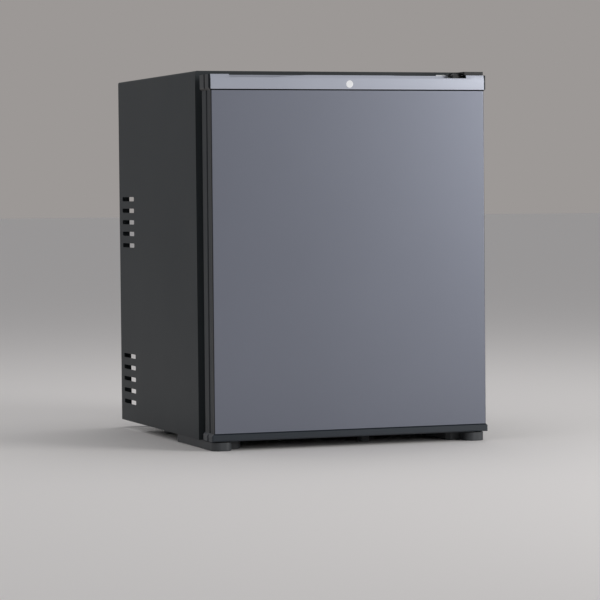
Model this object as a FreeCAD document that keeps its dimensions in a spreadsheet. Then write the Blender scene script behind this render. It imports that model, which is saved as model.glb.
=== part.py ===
import FreeCAD, Part
import math
import os
import Sketcher
from FreeCAD import Placement, Rotation, Vector

# A free-standing absorption minibar: a foamed cabinet, a side-hung door, and an open cooling unit behind.
# X runs to the right seen from the front, Y from the door to the back, Z up.
# The origin is on the floor, in the middle of the outline.

# Driving sizes in millimetres, grouped by the piece that carries them
SIZES = {
    # casing
    "case_width": 400,
    "case_depth": 380,
    "overall_height": 510,
    "foot_height": 11.5,
    "sheet_gauge": 0.8,
    "bend_radius": 2.5,
    "front_flange": 12,
    "rear_flange": 15,
    "pan_lip": 14,
    "crossbar_height": 18,
    "crossbar_depth": 14,
    "crossbar_gauge": 1.2,
    # air slots in the sides
    "slot_length": 60,
    "slot_height": 6.2,
    "slot_corner": 1.2,
    "slot_pitch": 16.9,
    "slot_inset": 16,
    "lower_slots_height": 40.2,
    "upper_slots_height": 270,
    # foamed box and its liner
    "box_depth": 290,
    "side_wall": 35,
    "roof_wall": 36,
    "floor_wall": 38.5,
    "back_wall": 35,
    "liner_gauge": 1.5,
    "liner_corner": 10,
    "ledge_depth": 8,
    "ledge_height": 5,
    "ledge_front_gap": 85,
    "lower_shelf_height": 130,
    "upper_shelf_height": 236,
    # glass shelves
    "glass_gauge": 4,
    "trim_gauge": 1.6,
    "trim_depth": 12,
    "trim_drop": 6,
    "shelf_side_gap": 2,
    "shelf_back_gap": 3,
    "shelf_front_overhang": 3,
    "shelf_corner": 4,
    # cooling fins, drip tray and drain
    "fin_plate_width": 180,
    "fin_plate_height": 66,
    "fin_plate_gauge": 3,
    "fin_depth": 24,
    "fin_gauge": 2,
    "fin_roof_gap": 10,
    "tray_overlap": 5,
    "tray_height": 13,
    "tray_wall": 1.5,
    "tray_gap": 3,
    "drain_radius": 4,
    "drain_bend": 14,
    "drain_reach": 22,
    "drain_inset": 24,
    "drain_end_gap": 4,
    "bore_clearance": 0.1,
    # lamp and thermostat housing under the roof of the box
    "control_width": 66,
    "control_depth": 70,
    "control_height": 30,
    "control_wall": 2,
    "control_front_gap": 70,
    "control_side_gap": 2,
    "control_corner": 4,
    "lamp_width": 26,
    "lamp_length": 44,
    "lamp_drop": 2,
    "lamp_side_inset": 6,
    "lamp_bevel": 1,
    "thermostat_width": 28,
    "thermostat_depth": 26,
    "thermostat_height": 22,
    "knob_side_inset": 19,
    "knob_radius": 12,
    "knob_height": 9,
    "knob_bar_width": 5,
    "knob_bar_height": 5,
    "knob_gap": 0.5,
    "knob_socket": 6,
    "spindle_radius": 3,
    "spindle_reach": 12,
    "bearing_clearance": 0.05,
    # door skin and edge profiles
    "door_depth": 42,
    "seal_gap": 18,
    "door_clearance": 1.5,
    "door_top_gap": 6.7,
    "panel_gauge": 0.8,
    "panel_corner": 1.6,
    "panel_return": 6,
    "profile_width": 12,
    "profile_bead": 11.5,
    "profile_groove": 4,
    "profile_groove_depth": 1.5,
    "profile_bead_radius": 1.2,
    "rear_corner": 3,
    # end caps of the door
    "top_cap_height": 21.3,
    "bottom_cap_height": 10.6,
    "cap_proud": 3,
    "cap_corner": 2.5,
    "cap_front_bevel": 1.6,
    "cap_crease_drop": 6.8,
    "cap_slope": 1.6,
    "cap_socket": 5,
    "cap_wall": 4,
    "grip_side_inset": 29,
    "grip_lip": 5,
    "grip_depth": 20,
    "grip_floor": 13,
    "grip_corner": 4,
    "wave_start": 114,
    "wave_end": 59,
    "wave_radius": 90,
    "lip_drop": 4.1,
    "lip_crown_drop": 0.8,
    "badge_radius": 5,
    "badge_thickness": 0.8,
    "badge_rise": 8.6,
    # inner side of the door
    "door_liner_gauge": 1.5,
    "door_liner_margin": 8,
    "ear_reach": 68,
    "ear_width": 14,
    "ear_side_gap": 15,
    "ear_end_gap": 10,
    "ear_corner": 6,
    "ear_ledge_reach": 4,
    "ear_ledge_height": 4,
    "ear_ledge_inset": 8,
    "seal_overlap": 14,
    "seal_width": 12,
    "seal_neck": 6,
    "seal_base_height": 5,
    "seal_head_height": 6,
    "seal_clearance": 0.3,
    "rack_wall": 2,
    "rack_fit": 0.3,
    "rack_low_wall": 22,
    "rack_high_wall": 42,
    "rack_rim": 8,
    "rack_inset": 3,
    "rack_corner": 8,
    "lower_rack_height": 26,
    "upper_rack_height": 286,
    "rail_radius": 3,
    "rail_rise": 92,
    "rail_inset": 10,
    # hinges
    "hinge_side_inset": 17,
    "hinge_front_inset": 20,
    "pin_radius": 2.5,
    "pin_reach": 9.2,
    "pin_seat_depth": 8,
    "pin_head_radius": 4,
    "pin_head_height": 0.6,
    "bush_radius": 5,
    "bush_height": 9.6,
    "bush_flange_radius": 7,
    "bush_flange_height": 1,
    "washer_gap": 0.3,
    "plate_gauge": 2.5,
    "plate_gap": 0.6,
    "plate_nose": 13,
    "plate_leg_width": 46,
    "plate_leg_height": 13,
    "cover_gauge": 1,
    "cover_gap": 0.7,
    "cover_reach": 16.5,
    "cover_corner": 1.5,
    "cover_rise": 0.3,
    "cover_drop": 0.2,
    "lug_width": 13.6,
    "lug_depth": 8,
    "lug_drop": 5.8,
    "lug_corner": 4,
    "lug_clearance": 0.8,
    "screw_radius": 1.9,
    "screw_head_radius": 3.6,
    "screw_head_height": 2.2,
    "hinge_screw_length": 4,
    "hinge_screw_spread": 26,
    "hinge_screw_drop": 6.6,
    # feet
    "shoe_inset": 2.6,
    "shoe_front_inset": 3,
    "shoe_tongue": 28,
    "shoe_shoulder": 19,
    "shoe_shoulder_inset": 28,
    "shoe_length": 123,
    "shoe_tail_length": 47,
    "shoe_tail_width": 13,
    "shoe_nose": 11,
    "shoe_corner": 5,
    "shoe_bevel": 0.8,
    "shoe_screw_inset": 24,
    "shoe_screw_spread": 30,
    "shoe_screw_back_inset": 16,
    "shoe_recess": 3.2,
    "recess_clearance": 0.4,
    "rear_foot_radius": 10,
    "rear_foot_step": 1,
    "rear_foot_side_inset": 34,
    "rear_foot_back_inset": 50,
    "middle_foot_width": 16,
    "middle_foot_depth": 14,
    "middle_foot_offset": 41,
    # cooling unit on the back
    "unit_clearance": 6,
    "pipe_radius": 8,
    "pipe_bend": 20,
    "vessel_radius": 27,
    "vessel_gauge": 2.5,
    "vessel_end_gauge": 8,
    "vessel_height": 78,
    "vessel_side_inset": 48,
    "coil_top_share": 0.7,
    "coil_start_gap": 21,
    "coil_side_inset": 70,
    "coil_end_gap": 42,
    "boiler_radius": 26,
    "boiler_gauge": 0.8,
    "boiler_height": 190,
    "boiler_rise": 18,
    "boiler_side_inset": 84,
    "boiler_pipe_radius": 10,
    "exchanger_run": 48,
    "exchanger_drop": 4,
    "heater_radius": 6,
    "heater_length": 80,
    "heater_rise": 14,
    "heater_offset": 17,
    "condenser_drop": 58,
    "condenser_fin_depth": 40,
    "condenser_fin_height": 46,
    "condenser_fin_gauge": 1,
    "condenser_fin_start": 12,
    "condenser_fin_end": 22,
    "condenser_joint_gap": 6,
    "liquid_port_offset": 46,
    "gas_port_offset": 78,
    "port_drop": 32,
    "window_margin": 2,
    "plug_margin": 14,
    "plug_depth": 5,
    "plug_corner": 6,
    "bracket_width": 20,
    "bracket_rise": 37,
    "bracket_gauge": 2,
    "bracket_inset": 46,
    "bracket_screw_inset": 7,
    "bracket_screw_length": 2.8,
    "saddle_height": 32,
    "saddle_depth": 12,
    "cup_length": 60,
    "cup_width": 44,
    "cup_height": 12,
    "cup_wall": 1.5,
    "cup_saddle": 8,
    "terminal_width": 50,
    "terminal_depth": 40,
    "terminal_height": 70,
    "terminal_start_height": 96,
    "terminal_side_gap": 4,
    "terminal_corner": 4,
    "terminal_foot_inset": 10,
    "terminal_foot_height": 50,
    "gland_nut_radius": 9,
    "gland_nut_height": 6,
    "gland_collar_radius": 5.5,
    "gland_collar_height": 3,
    # one overrun serves every cut that runs past a face
    "overrun": 5,
}

SLOT_COUNT = 5
FIN_COUNT = 13
CONDENSER_FIN_COUNT = 10
COIL_TURNS = 3
OPENING_ANGLE = 120
LUG_SPARE_ANGLE = 5
LUG_CLOSED_ANGLE = 20
WAVE_LEAN_ANGLE = 4
MITRE_SHARE = 0.586
PIPE_SIDES = 12
SCREW_SIDES = 8
BUSH_SIDES = 6
KNOB_SIDES = 24
PLANES = {"X": "YZ_Plane", "Y": "XZ_Plane", "Z": "XY_Plane"}

doc = FreeCAD.newDocument("minibar")
sheet = doc.addObject("Spreadsheet::Sheet", "sizes")
for row, (alias, number) in enumerate(SIZES.items(), start=1):
    sheet.set("A%d" % row, alias)
    sheet.set("B%d" % row, str(number))
    sheet.setAlias("B%d" % row, alias)
doc.recompute()


class Size:
    """A length: its number now, and the sheet expression that it follows."""

    def __init__(self, number, text):
        self.number = number
        self.text = text

    def joined(self, sign, other, number):
        right = other.text if isinstance(other, Size) else str(other)
        return Size(number, "(%s %s %s)" % (self.text, sign, right))

    def __add__(self, other):
        return self.joined("+", other, self.number + number_of(other))

    def __sub__(self, other):
        return self.joined("-", other, self.number - number_of(other))

    def __mul__(self, other):
        return self.joined("*", other, self.number * number_of(other))

    def __truediv__(self, other):
        return self.joined("/", other, self.number / number_of(other))

    def __neg__(self):
        return Size(-self.number, "(-1 * %s)" % self.text)


def number_of(size):
    return size.number if isinstance(size, Size) else size


class SheetSizes:
    """The sheet's sizes by their aliases."""

    def __getattr__(self, alias):
        return Size(float(SIZES[alias]), "sizes." + alias)


size = SheetSizes()
zero = Size(0.0, "0")

# Places that several pieces share
front = -(size.case_depth + size.seal_gap + size.door_depth) / 2
door_back = front + size.door_depth
case_front = door_back + size.seal_gap
rear = case_front + size.case_depth
box_back = case_front + size.box_depth
half_case = size.case_width / 2
half_inside = half_case - size.sheet_gauge
half_flange = half_case - size.front_flange
case_bottom = size.foot_height
case_top = size.overall_height
roof_inside = case_top - size.sheet_gauge
pan_top = case_bottom + size.sheet_gauge
inner_bend = size.bend_radius - size.sheet_gauge
cavity_half = half_case - size.side_wall
cavity_floor = case_bottom + size.floor_wall
cavity_roof = case_top - size.roof_wall
cavity_back = box_back - size.back_wall
foam_front = case_front + size.liner_gauge
foam_back = box_back - size.sheet_gauge
door_bottom = size.foot_height + size.door_clearance
door_top = case_top - size.door_top_gap
panel_bottom = door_bottom + size.bottom_cap_height
panel_top = door_top - size.top_cap_height
profile_half = half_case - size.cap_proud
core_half = profile_half - size.profile_width
grip_half = half_case - size.grip_side_inset
liner_skin = door_back - size.door_liner_gauge
door_liner_half = profile_half - size.door_liner_margin
door_liner_low = door_bottom + size.door_liner_margin
door_liner_high = door_top - size.door_liner_margin
bead_start = front + size.panel_return
groove_start = bead_start + size.profile_bead
groove_end = groove_start + size.profile_groove
hinge_x = half_case - size.hinge_side_inset
hinge_y = front + size.hinge_front_inset
plate_bottom = door_top + size.plate_gap
plate_top = plate_bottom + size.plate_gauge
pin_seat = case_bottom - size.pin_seat_depth
pin_bore = size.pin_radius + size.bearing_clearance
socket_half = hinge_x - size.bush_flange_radius - size.cap_wall
ear_half = cavity_half - size.ear_side_gap
rack_half = ear_half - size.ear_width
fins_top = cavity_roof - size.fin_roof_gap
fins_bottom = fins_top - size.fin_plate_height
fins_front = cavity_back - size.fin_plate_gauge - size.fin_depth
tray_top = fins_bottom - size.tray_gap
tray_bottom = tray_top - size.tray_height
drain_height = tray_bottom + size.tray_wall + size.drain_radius + size.bore_clearance
drain_bore = size.drain_radius + size.bore_clearance
unit_y = box_back + size.unit_clearance + size.vessel_radius
pipe_bore = size.pipe_radius + size.bore_clearance
boiler_x = half_case - size.boiler_side_inset
vessel_left = size.vessel_side_inset - half_case
vessel_right = boiler_x - size.exchanger_run
vessel_top = size.vessel_height + size.vessel_radius
drain_x = vessel_right - size.drain_inset
boiler_start = size.vessel_height + size.boiler_rise
boiler_top = boiler_start + size.boiler_height
condenser_z = case_top - size.condenser_drop
liquid_port = (-size.liquid_port_offset, condenser_z)
gas_port = (-size.gas_port_offset, condenser_z - size.port_drop)
gas_start = gas_port[1] * size.coil_top_share
coil_start = vessel_top + size.coil_start_gap
coil_pitch = (gas_start - coil_start) / (2 * COIL_TURNS)
boiler_bore = size.boiler_pipe_radius + size.bore_clearance
heater_bore = size.heater_radius + size.bore_clearance
heater_x = boiler_x + size.heater_offset
condenser_start = boiler_x - size.pipe_bend - size.condenser_joint_gap
terminal_left = boiler_x + size.boiler_radius + size.terminal_side_gap
terminal_right = terminal_left + size.terminal_width
terminal_top = size.terminal_start_height + size.terminal_height
bracket_xs = [vessel_left + size.bracket_inset, vessel_right - size.bracket_inset]
control_right = cavity_half - size.liner_corner - size.control_side_gap
control_left = control_right - size.control_width
control_front = case_front + size.control_front_gap
control_back = control_front + size.control_depth
control_bottom = cavity_roof - size.control_height
knob_x = control_right - size.knob_side_inset
knob_z = cavity_roof - size.control_height / 2
shelf_half = cavity_half - size.shelf_side_gap
shelf_front = case_front + size.ledge_front_gap + size.shelf_front_overhang
shelf_back = cavity_back - size.shelf_back_gap
hinge_screw_z = plate_top - size.hinge_screw_drop
plate_leg_right = hinge_x + size.plate_nose
plate_leg_left = plate_leg_right - size.plate_leg_width
plate_leg_middle = (plate_leg_left + plate_leg_right) / 2
hinge_screw_xs = [plate_leg_middle + size.hinge_screw_spread * share for share in (-0.5, 0.5)]


def fix_point(sketch, curve, end, u, v):
    for kind, place in (("DistanceX", u), ("DistanceY", v)):
        number = sketch.addConstraint(Sketcher.Constraint(kind, -1, 1, curve, end, place.number))
        sketch.setExpression("Constraints[%d]" % number, place.text)


def fix_radius(sketch, curve, radius):
    number = sketch.addConstraint(Sketcher.Constraint("Radius", curve, radius.number))
    sketch.setExpression("Constraints[%d]" % number, radius.text)


def arc_on(sketch, centre_u, centre_v, radius, low, high):
    ring = Part.Circle(Vector(centre_u.number, centre_v.number, 0), Vector(0, 0, 1), radius.number)
    return sketch.addGeometry(Part.ArcOfCircle(ring, math.radians(low), math.radians(high)), False)


def circle(u, v, radius):
    def draw(sketch):
        ring = Part.Circle(Vector(u.number, v.number, 0), Vector(0, 0, 1), radius.number)
        curve = sketch.addGeometry(ring, False)
        fix_point(sketch, curve, 3, u, v)
        fix_radius(sketch, curve, radius)

    return draw


def chain(*stops, closed=True):
    """Straight runs between stops. A stop is a point (u, v), or a tangent arc (u, v, radius, first, last)."""

    def stop_end(stop, leaving):
        if len(stop) == 2:
            return stop[0].number, stop[1].number
        angle = math.radians(stop[4] if leaving else stop[3])
        reach = stop[2].number
        return stop[0].number + reach * math.cos(angle), stop[1].number + reach * math.sin(angle)

    def draw(sketch):
        arcs = {}
        for i, stop in enumerate(stops):
            if len(stop) == 5:
                arcs[i] = arc_on(sketch, *stop[:3], min(stop[3:]), max(stop[3:]))
                fix_point(sketch, arcs[i], 3, stop[0], stop[1])
                fix_radius(sketch, arcs[i], stop[2])
        runs = [(i, (i + 1) % len(stops)) for i in range(len(stops) if closed else len(stops) - 1)]
        arriving = {}
        leaving = {}
        for start, end in runs:
            tail = Vector(*stop_end(stops[start], True), 0)
            head = Vector(*stop_end(stops[end], False), 0)
            run = sketch.addGeometry(Part.LineSegment(tail, head), False)
            leaving[start] = run
            arriving[end] = run
        for i, stop in enumerate(stops):
            if i in arcs:
                forward = stop[4] > stop[3]
                first, last = (1, 2) if forward else (2, 1)
                sketch.addConstraint(Sketcher.Constraint("Tangent", arriving[i], 2, arcs[i], first))
                sketch.addConstraint(Sketcher.Constraint("Tangent", arcs[i], last, leaving[i], 1))
            elif i in arriving:
                fix_point(sketch, arriving[i], 2, *stop)
                if i in leaving:
                    sketch.addConstraint(Sketcher.Constraint("Coincident", arriving[i], 2, leaving[i], 1))
            else:
                fix_point(sketch, leaving[i], 1, *stop)

    return draw


def box(u_low, v_low, u_high, v_high):
    return chain((u_low, v_low), (u_high, v_low), (u_high, v_high), (u_low, v_high))


def rounded_box(u_low, v_low, u_high, v_high, radius):
    return chain(
        (u_low + radius, v_low + radius, radius, 180, 270),
        (u_high - radius, v_low + radius, radius, 270, 360),
        (u_high - radius, v_high - radius, radius, 0, 90),
        (u_low + radius, v_high - radius, radius, 90, 180),
    )


def cut_box(u_low, v_low, u_high, v_high, corner):
    """A box with its four corners cut off."""
    return chain(
        (u_low + corner, v_low), (u_high - corner, v_low), (u_high, v_low + corner), (u_high, v_high - corner),
        (u_high - corner, v_high), (u_low + corner, v_high), (u_low, v_high - corner), (u_low, v_low + corner),
    )


def faceted(u, v, radius, sides):
    """A regular outline inside a circle, for pipes and screws that repeat too often to be round."""
    turns = [2 * math.pi * i / sides for i in range(sides)]
    ways = [(round(math.cos(turn), 9), round(math.sin(turn), 9)) for turn in turns]
    return chain(*[(u + radius * across, v + radius * along) for across, along in ways])


def ring_sector(u, v, inner, outer, first, last):
    """The part of a ring between two directions from its centre, in degrees."""

    def draw(sketch):
        arcs = []
        for radius in (inner, outer):
            arc = arc_on(sketch, u, v, radius, first, last)
            fix_point(sketch, arc, 3, u, v)
            fix_radius(sketch, arc, radius)
            arcs.append(arc)
        for end, angle in ((1, first), (2, last)):
            way = Vector(math.cos(math.radians(angle)), math.sin(math.radians(angle)), 0)
            middle = Vector(u.number, v.number, 0)
            tail = middle + way * inner.number
            head = middle + way * outer.number
            spoke = sketch.addGeometry(Part.LineSegment(tail, head), False)
            sketch.addConstraint(Sketcher.Constraint("Coincident", spoke, 1, arcs[0], end))
            sketch.addConstraint(Sketcher.Constraint("Coincident", spoke, 2, arcs[1], end))
            sketch.addConstraint(Sketcher.Constraint("PointOnObject", arcs[0], 3, spoke))
            sketch.addConstraint(Sketcher.Constraint("Angle", spoke, math.radians(angle)))

    return draw


def new_body(name, x=zero, y=zero, z=zero):
    body = doc.addObject("PartDesign::Body", name)
    body.Label = name
    for axis, place in (("x", x), ("y", y), ("z", z)):
        body.setExpression("Placement.Base." + axis, place.text)
    return body


def origin_feature(body, role):
    return [feature for feature in body.Origin.OriginFeatures if feature.Role == role][0]


def sketch_on(body, axis, place, outlines):
    sketch = body.newObject("Sketcher::SketchObject", body.Name + "_sketch")
    sketch.AttachmentSupport = (origin_feature(body, PLANES[axis]), [""])
    sketch.MapMode = "FlatFace"
    offset = -place if axis == "Y" else place
    sketch.setExpression(".AttachmentOffset.Base.z", offset.text)
    for outline in outlines:
        outline(sketch)
    return sketch


def pad(body, axis, low, high, *outlines):
    """Adds the outlines, drawn across an axis, from low to high along it."""
    feature = body.newObject("PartDesign::Pad", body.Name + "_pad")
    feature.Profile = sketch_on(body, axis, high if axis == "Y" else low, outlines)
    feature.setExpression("Length", (high - low).text)
    return feature


def pocket(body, axis, low, high, *outlines):
    """Cuts the outlines, drawn across an axis, from low to high along it."""
    doc.recompute()
    before = body.Shape.Volume
    feature = body.newObject("PartDesign::Pocket", body.Name + "_pocket")
    feature.Profile = sketch_on(body, axis, low if axis == "Y" else high, outlines)
    feature.setExpression("Length", (high - low).text)
    doc.recompute()
    if body.Shape.Volume > before - 1e-6:
        raise RuntimeError("%s: a pocket cut nothing" % body.Label)
    return feature


def revolve(body, axis, *points):
    """Turns an outline of (along, across) points round the body's own axis."""
    feature = body.newObject("PartDesign::Revolution", body.Name + "_turned")
    turned = {"Z": ("Y", [(across, along) for along, across in points]), "X": ("Z", points)}
    plane, outline = turned[axis]
    feature.Profile = sketch_on(body, plane, zero, [chain(*outline)])
    feature.ReferenceAxis = (origin_feature(body, axis + "_Axis"), [""])
    feature.Angle = 360
    return feature


def repeat(body, feature, axis, pitch, count):
    pattern = body.newObject("PartDesign::LinearPattern", body.Name + "_row")
    pattern.Originals = [feature]
    pattern.Direction = (origin_feature(body, axis + "_Axis"), [""])
    pattern.Occurrences = count
    pattern.setExpression("Length", (pitch * (count - 1)).text)
    body.Tip = pattern
    return pattern


def straight_edges(body, axis, corners):
    """Names of the edges along an axis that pass through the corners, given in the other two directions."""
    doc.recompute()
    lines = "XYZ".index(axis)
    across = [i for i in range(3) if i != lines]
    names = []
    for number, edge in enumerate(body.Tip.Shape.Edges, start=1):
        ends = [vertex.Point for vertex in edge.Vertexes]
        if len(ends) != 2 or edge.Curve.TypeId != "Part::GeomLine":
            continue
        middle = (ends[0] + ends[1]) * 0.5
        run = ends[1] - ends[0]
        if abs(run[lines]) < run.Length - 1e-6:
            continue
        for corner in corners:
            if all(abs(middle[i] - place.number) < 1e-3 for i, place in zip(across, corner)):
                names.append("Edge%d" % number)
    if not names:
        raise RuntimeError("%s: no edge at the corners" % body.Label)
    return names


def dress(body, kind, amount, names):
    base = body.Tip
    feature = body.newObject("PartDesign::" + kind, body.Name + "_" + kind.lower())
    feature.Base = (base, names)
    feature.setExpression("Radius" if kind == "Fillet" else "Size", amount.text)
    doc.recompute()
    return feature


def round_edges(body, radius, axis, *corners):
    return dress(body, "Fillet", radius, straight_edges(body, axis, corners))


def rim_edges(body, axis, place):
    """Names of all edges that lie in the plane across an axis at a place."""
    doc.recompute()
    lines = "XYZ".index(axis)
    names = []
    for number, edge in enumerate(body.Tip.Shape.Edges, start=1):
        bounds = edge.BoundBox
        low = (bounds.XMin, bounds.YMin, bounds.ZMin)[lines]
        high = (bounds.XMax, bounds.YMax, bounds.ZMax)[lines]
        if abs(low - place.number) < 1e-3 and abs(high - place.number) < 1e-3:
            names.append("Edge%d" % number)
    return names


def bent(bend, *corners):
    """A line through the corners, with each right-angled corner cut twice at the tangents of its bend."""

    def step(start, end):
        places = []
        for here, there in zip(start, end):
            gap = there.number - here.number
            places.append(here if abs(gap) < 1e-9 else here + bend * MITRE_SHARE * math.copysign(1, gap))
        return tuple(places)

    stops = [corners[0]]
    for before, corner, after in zip(corners, corners[1:], corners[2:]):
        stops += [step(corner, before), step(corner, after)]
    return stops + [corners[-1]]


def pipe(body, plane, place, stops, start_axis, start, centre, radius):
    """Sweeps a faceted section along stops drawn in a plane; the section lies across the start axis."""
    path = sketch_on(body, plane, place, [chain(*stops, closed=False)])
    section = sketch_on(body, start_axis, start, [faceted(*centre, radius, PIPE_SIDES)])
    feature = body.newObject("PartDesign::AdditivePipe", body.Name + "_pipe")
    feature.Profile = section
    feature.Spine = (path, [])
    feature.Transition = "Right corner"
    doc.recompute()
    face = math.sin(2 * math.pi / PIPE_SIDES) * PIPE_SIDES / 2 * radius.number ** 2
    expected = face * path.Shape.Length
    if abs(feature.Shape.Volume - expected) > 0.02 * expected:
        raise RuntimeError("%s: the pipe's volume is off" % body.Label)
    return feature


def box_part(name, low, high):
    block = doc.addObject("Part::Box", name)
    block.Label = name
    for side, axis, start, end in zip(("Length", "Width", "Height"), "xyz", low, high):
        block.setExpression(side, (end - start).text)
        block.setExpression("Placement.Base." + axis, start.text)
    return block


def along_axis(bar, x, y, z, height, axis):
    """Stands a bar at a point, to run along an axis."""
    turns = {"Z": Rotation(), "Y": Rotation(Vector(1, 0, 0), -90), "X": Rotation(Vector(0, 1, 0), 90)}
    bar.Placement = Placement(Vector(), turns[axis])
    bar.setExpression("Height", height.text)
    for way, place in (("x", x), ("y", y), ("z", z)):
        bar.setExpression("Placement.Base." + way, place.text)
    return bar


def cylinder_part(name, x, y, z, radius, height, axis="Z"):
    bar = doc.addObject("Part::Cylinder", name)
    bar.setExpression("Radius", radius.text)
    return along_axis(bar, x, y, z, height, axis)


def prism_part(name, sides, x, y, z, radius, height, axis="Z"):
    bar = doc.addObject("Part::Prism", name)
    bar.Polygon = sides
    bar.setExpression("Circumradius", radius.text)
    return along_axis(bar, x, y, z, height, axis)


def fused(name, *parts):
    whole = doc.addObject("Part::MultiFuse", name)
    whole.Shapes = list(parts)
    return whole


def cut_part(name, base, tool):
    rest = doc.addObject("Part::Cut", name)
    rest.Base = base
    rest.Tool = tool
    return rest


def group(name, parts):
    whole = doc.addObject("Part::Compound", name)
    whole.Label = name
    whole.Links = list(parts)
    return whole


# Cabinet


def slot_rows(body):
    """Two groups of air slots, cut through both sides at once."""
    slot_back = rear - size.slot_inset
    slot_front = slot_back - size.slot_length
    for low in (size.lower_slots_height, size.upper_slots_height):
        half = size.slot_height / 2
        outline = cut_box(slot_front, low - half, slot_back, low + half, size.slot_corner)
        slot = pocket(body, "X", -half_case - size.overrun, half_case + size.overrun, outline)
        repeat(body, slot, "Z", size.slot_pitch, SLOT_COUNT)


def hoop(half_out, top_out, half_in, top_in):
    """A strip with two legs and a top, open at the bottom."""
    return chain(
        (-half_out, case_bottom),
        (-half_out, top_out),
        (half_out, top_out),
        (half_out, case_bottom),
        (half_in, case_bottom),
        (half_in, top_in),
        (-half_in, top_in),
        (-half_in, case_bottom),
    )


def make_outer_casing():
    body = new_body("outer_casing")
    pad(body, "Y", case_front, rear, hoop(half_case, case_top, half_inside, roof_inside))
    round_edges(body, size.bend_radius, "Y", (-half_case, case_top), (half_case, case_top))
    round_edges(body, inner_bend, "Y", (-half_inside, roof_inside), (half_inside, roof_inside))
    flange_top = case_top - size.front_flange
    front_strip = hoop(half_inside, roof_inside, half_flange, flange_top)
    pad(body, "Y", case_front, case_front + size.sheet_gauge, front_strip)
    half_rear = half_case - size.rear_flange
    rear_strip = hoop(half_inside, roof_inside, half_rear, case_top - size.rear_flange)
    pad(body, "Y", rear - size.sheet_gauge, rear, rear_strip)
    slot_rows(body)
    screws = [faceted(x, hinge_screw_z, size.screw_radius, SCREW_SIDES) for x in hinge_screw_xs]
    pocket(body, "Y", case_front - size.overrun, case_front + size.sheet_gauge, *screws)
    return body


def shoe_screw_places(side):
    x = (half_case - size.shoe_inset - size.shoe_screw_inset) * side
    last = front + size.shoe_front_inset + size.shoe_length - size.shoe_screw_back_inset
    return [(x, last - size.shoe_screw_spread), (x, last)]


def make_base_pan():
    body = new_body("base_pan")
    back_edge = case_front + size.sheet_gauge
    pad(body, "Z", case_bottom, pan_top, box(-half_inside, back_edge, half_inside, box_back))
    lip = box(-half_flange, case_front, half_flange, back_edge)
    pad(body, "Z", case_bottom, case_bottom + size.pan_lip, lip)
    places = shoe_screw_places(-1) + shoe_screw_places(1)
    holes = [faceted(*place, size.screw_radius, SCREW_SIDES) for place in places]
    pocket(body, "Z", case_bottom - size.overrun, pan_top, *holes)
    return body


def make_rear_crossbar():
    body = new_body("rear_crossbar")
    outer = rear - size.sheet_gauge
    inner = outer - size.crossbar_gauge
    angle = chain(
        (outer, case_bottom),
        (outer, case_bottom + size.crossbar_height),
        (inner, case_bottom + size.crossbar_height),
        (inner, case_bottom + size.crossbar_gauge),
        (outer - size.crossbar_depth, case_bottom + size.crossbar_gauge),
        (outer - size.crossbar_depth, case_bottom),
    )
    pad(body, "X", -half_inside, half_inside, angle)
    return body


def wall_window():
    """The opening in the back wall that the two refrigerant pipes come through."""
    margin = size.pipe_radius + size.window_margin
    return box(gas_port[0] - margin, gas_port[1] - margin, liquid_port[0] + margin, liquid_port[1] + margin)


def wall_ports():
    """What is cut through every layer of the back wall: the window and the drain's hole."""
    return [wall_window(), faceted(drain_x, drain_height, drain_bore, PIPE_SIDES)]


def make_rear_panel():
    body = new_body("rear_panel")
    pad(body, "Y", foam_back, box_back, box(-half_inside, pan_top, half_inside, roof_inside))
    round_edges(body, inner_bend, "Y", (-half_inside, roof_inside), (half_inside, roof_inside))
    screws = [faceted(*place, size.screw_radius, SCREW_SIDES) for place in bracket_screw_places()]
    pocket(body, "Y", foam_back - size.overrun, box_back + size.overrun, *wall_ports(), *screws)
    return body


def make_insulation():
    body = new_body("insulation")
    pad(body, "Y", foam_front, foam_back, box(-half_inside, pan_top, half_inside, roof_inside))
    round_edges(body, inner_bend, "Y", (-half_inside, roof_inside), (half_inside, roof_inside))
    half = cavity_half + size.liner_gauge
    low = cavity_floor - size.liner_gauge
    high = cavity_roof + size.liner_gauge
    corner = size.liner_corner + size.liner_gauge
    hollow = cut_box(-half, low, half, high, corner * MITRE_SHARE)
    pocket(body, "Y", foam_front - size.overrun, cavity_back + size.liner_gauge, hollow)
    pocket(body, "Y", cavity_back, foam_back + size.overrun, *wall_ports())
    return body


def make_inner_liner():
    body = new_body("inner_liner")
    half = cavity_half + size.liner_gauge
    low = cavity_floor - size.liner_gauge
    high = cavity_roof + size.liner_gauge
    corner = size.liner_corner + size.liner_gauge
    shell = cut_box(-half, low, half, high, corner * MITRE_SHARE)
    pad(body, "Y", case_front, cavity_back + size.liner_gauge, shell)
    flange_low = case_bottom + size.pan_lip
    flange_high = case_top - size.front_flange
    pad(body, "Y", case_front, foam_front, box(-half_flange, flange_low, half_flange, flange_high))
    hollow = rounded_box(-cavity_half, cavity_floor, cavity_half, cavity_roof, size.liner_corner)
    pocket(body, "Y", case_front - size.overrun, cavity_back, hollow)
    ledge_front = case_front + size.ledge_front_gap
    for side in (-1, 1):
        for height in (size.lower_shelf_height, size.upper_shelf_height):
            top = cavity_floor + height
            wall = (cavity_half + size.liner_gauge / 2) * side
            tip = (cavity_half - size.ledge_depth) * side
            ledge = box(wall, top - size.ledge_height, tip, top)
            pad(body, "Y", ledge_front, cavity_back + size.liner_gauge / 2, ledge)
    pocket(body, "Y", cavity_back - size.overrun, cavity_back + size.overrun, *wall_ports())
    return body


def make_shelf(name, height):
    """A glass shelf that lies on the liner's ledges."""
    body = new_body(name)
    low = cavity_floor + height
    outline = cut_box(-shelf_half, shelf_front, shelf_half, shelf_back, size.shelf_corner)
    pad(body, "Z", low, low + size.glass_gauge, outline)
    return body


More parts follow.
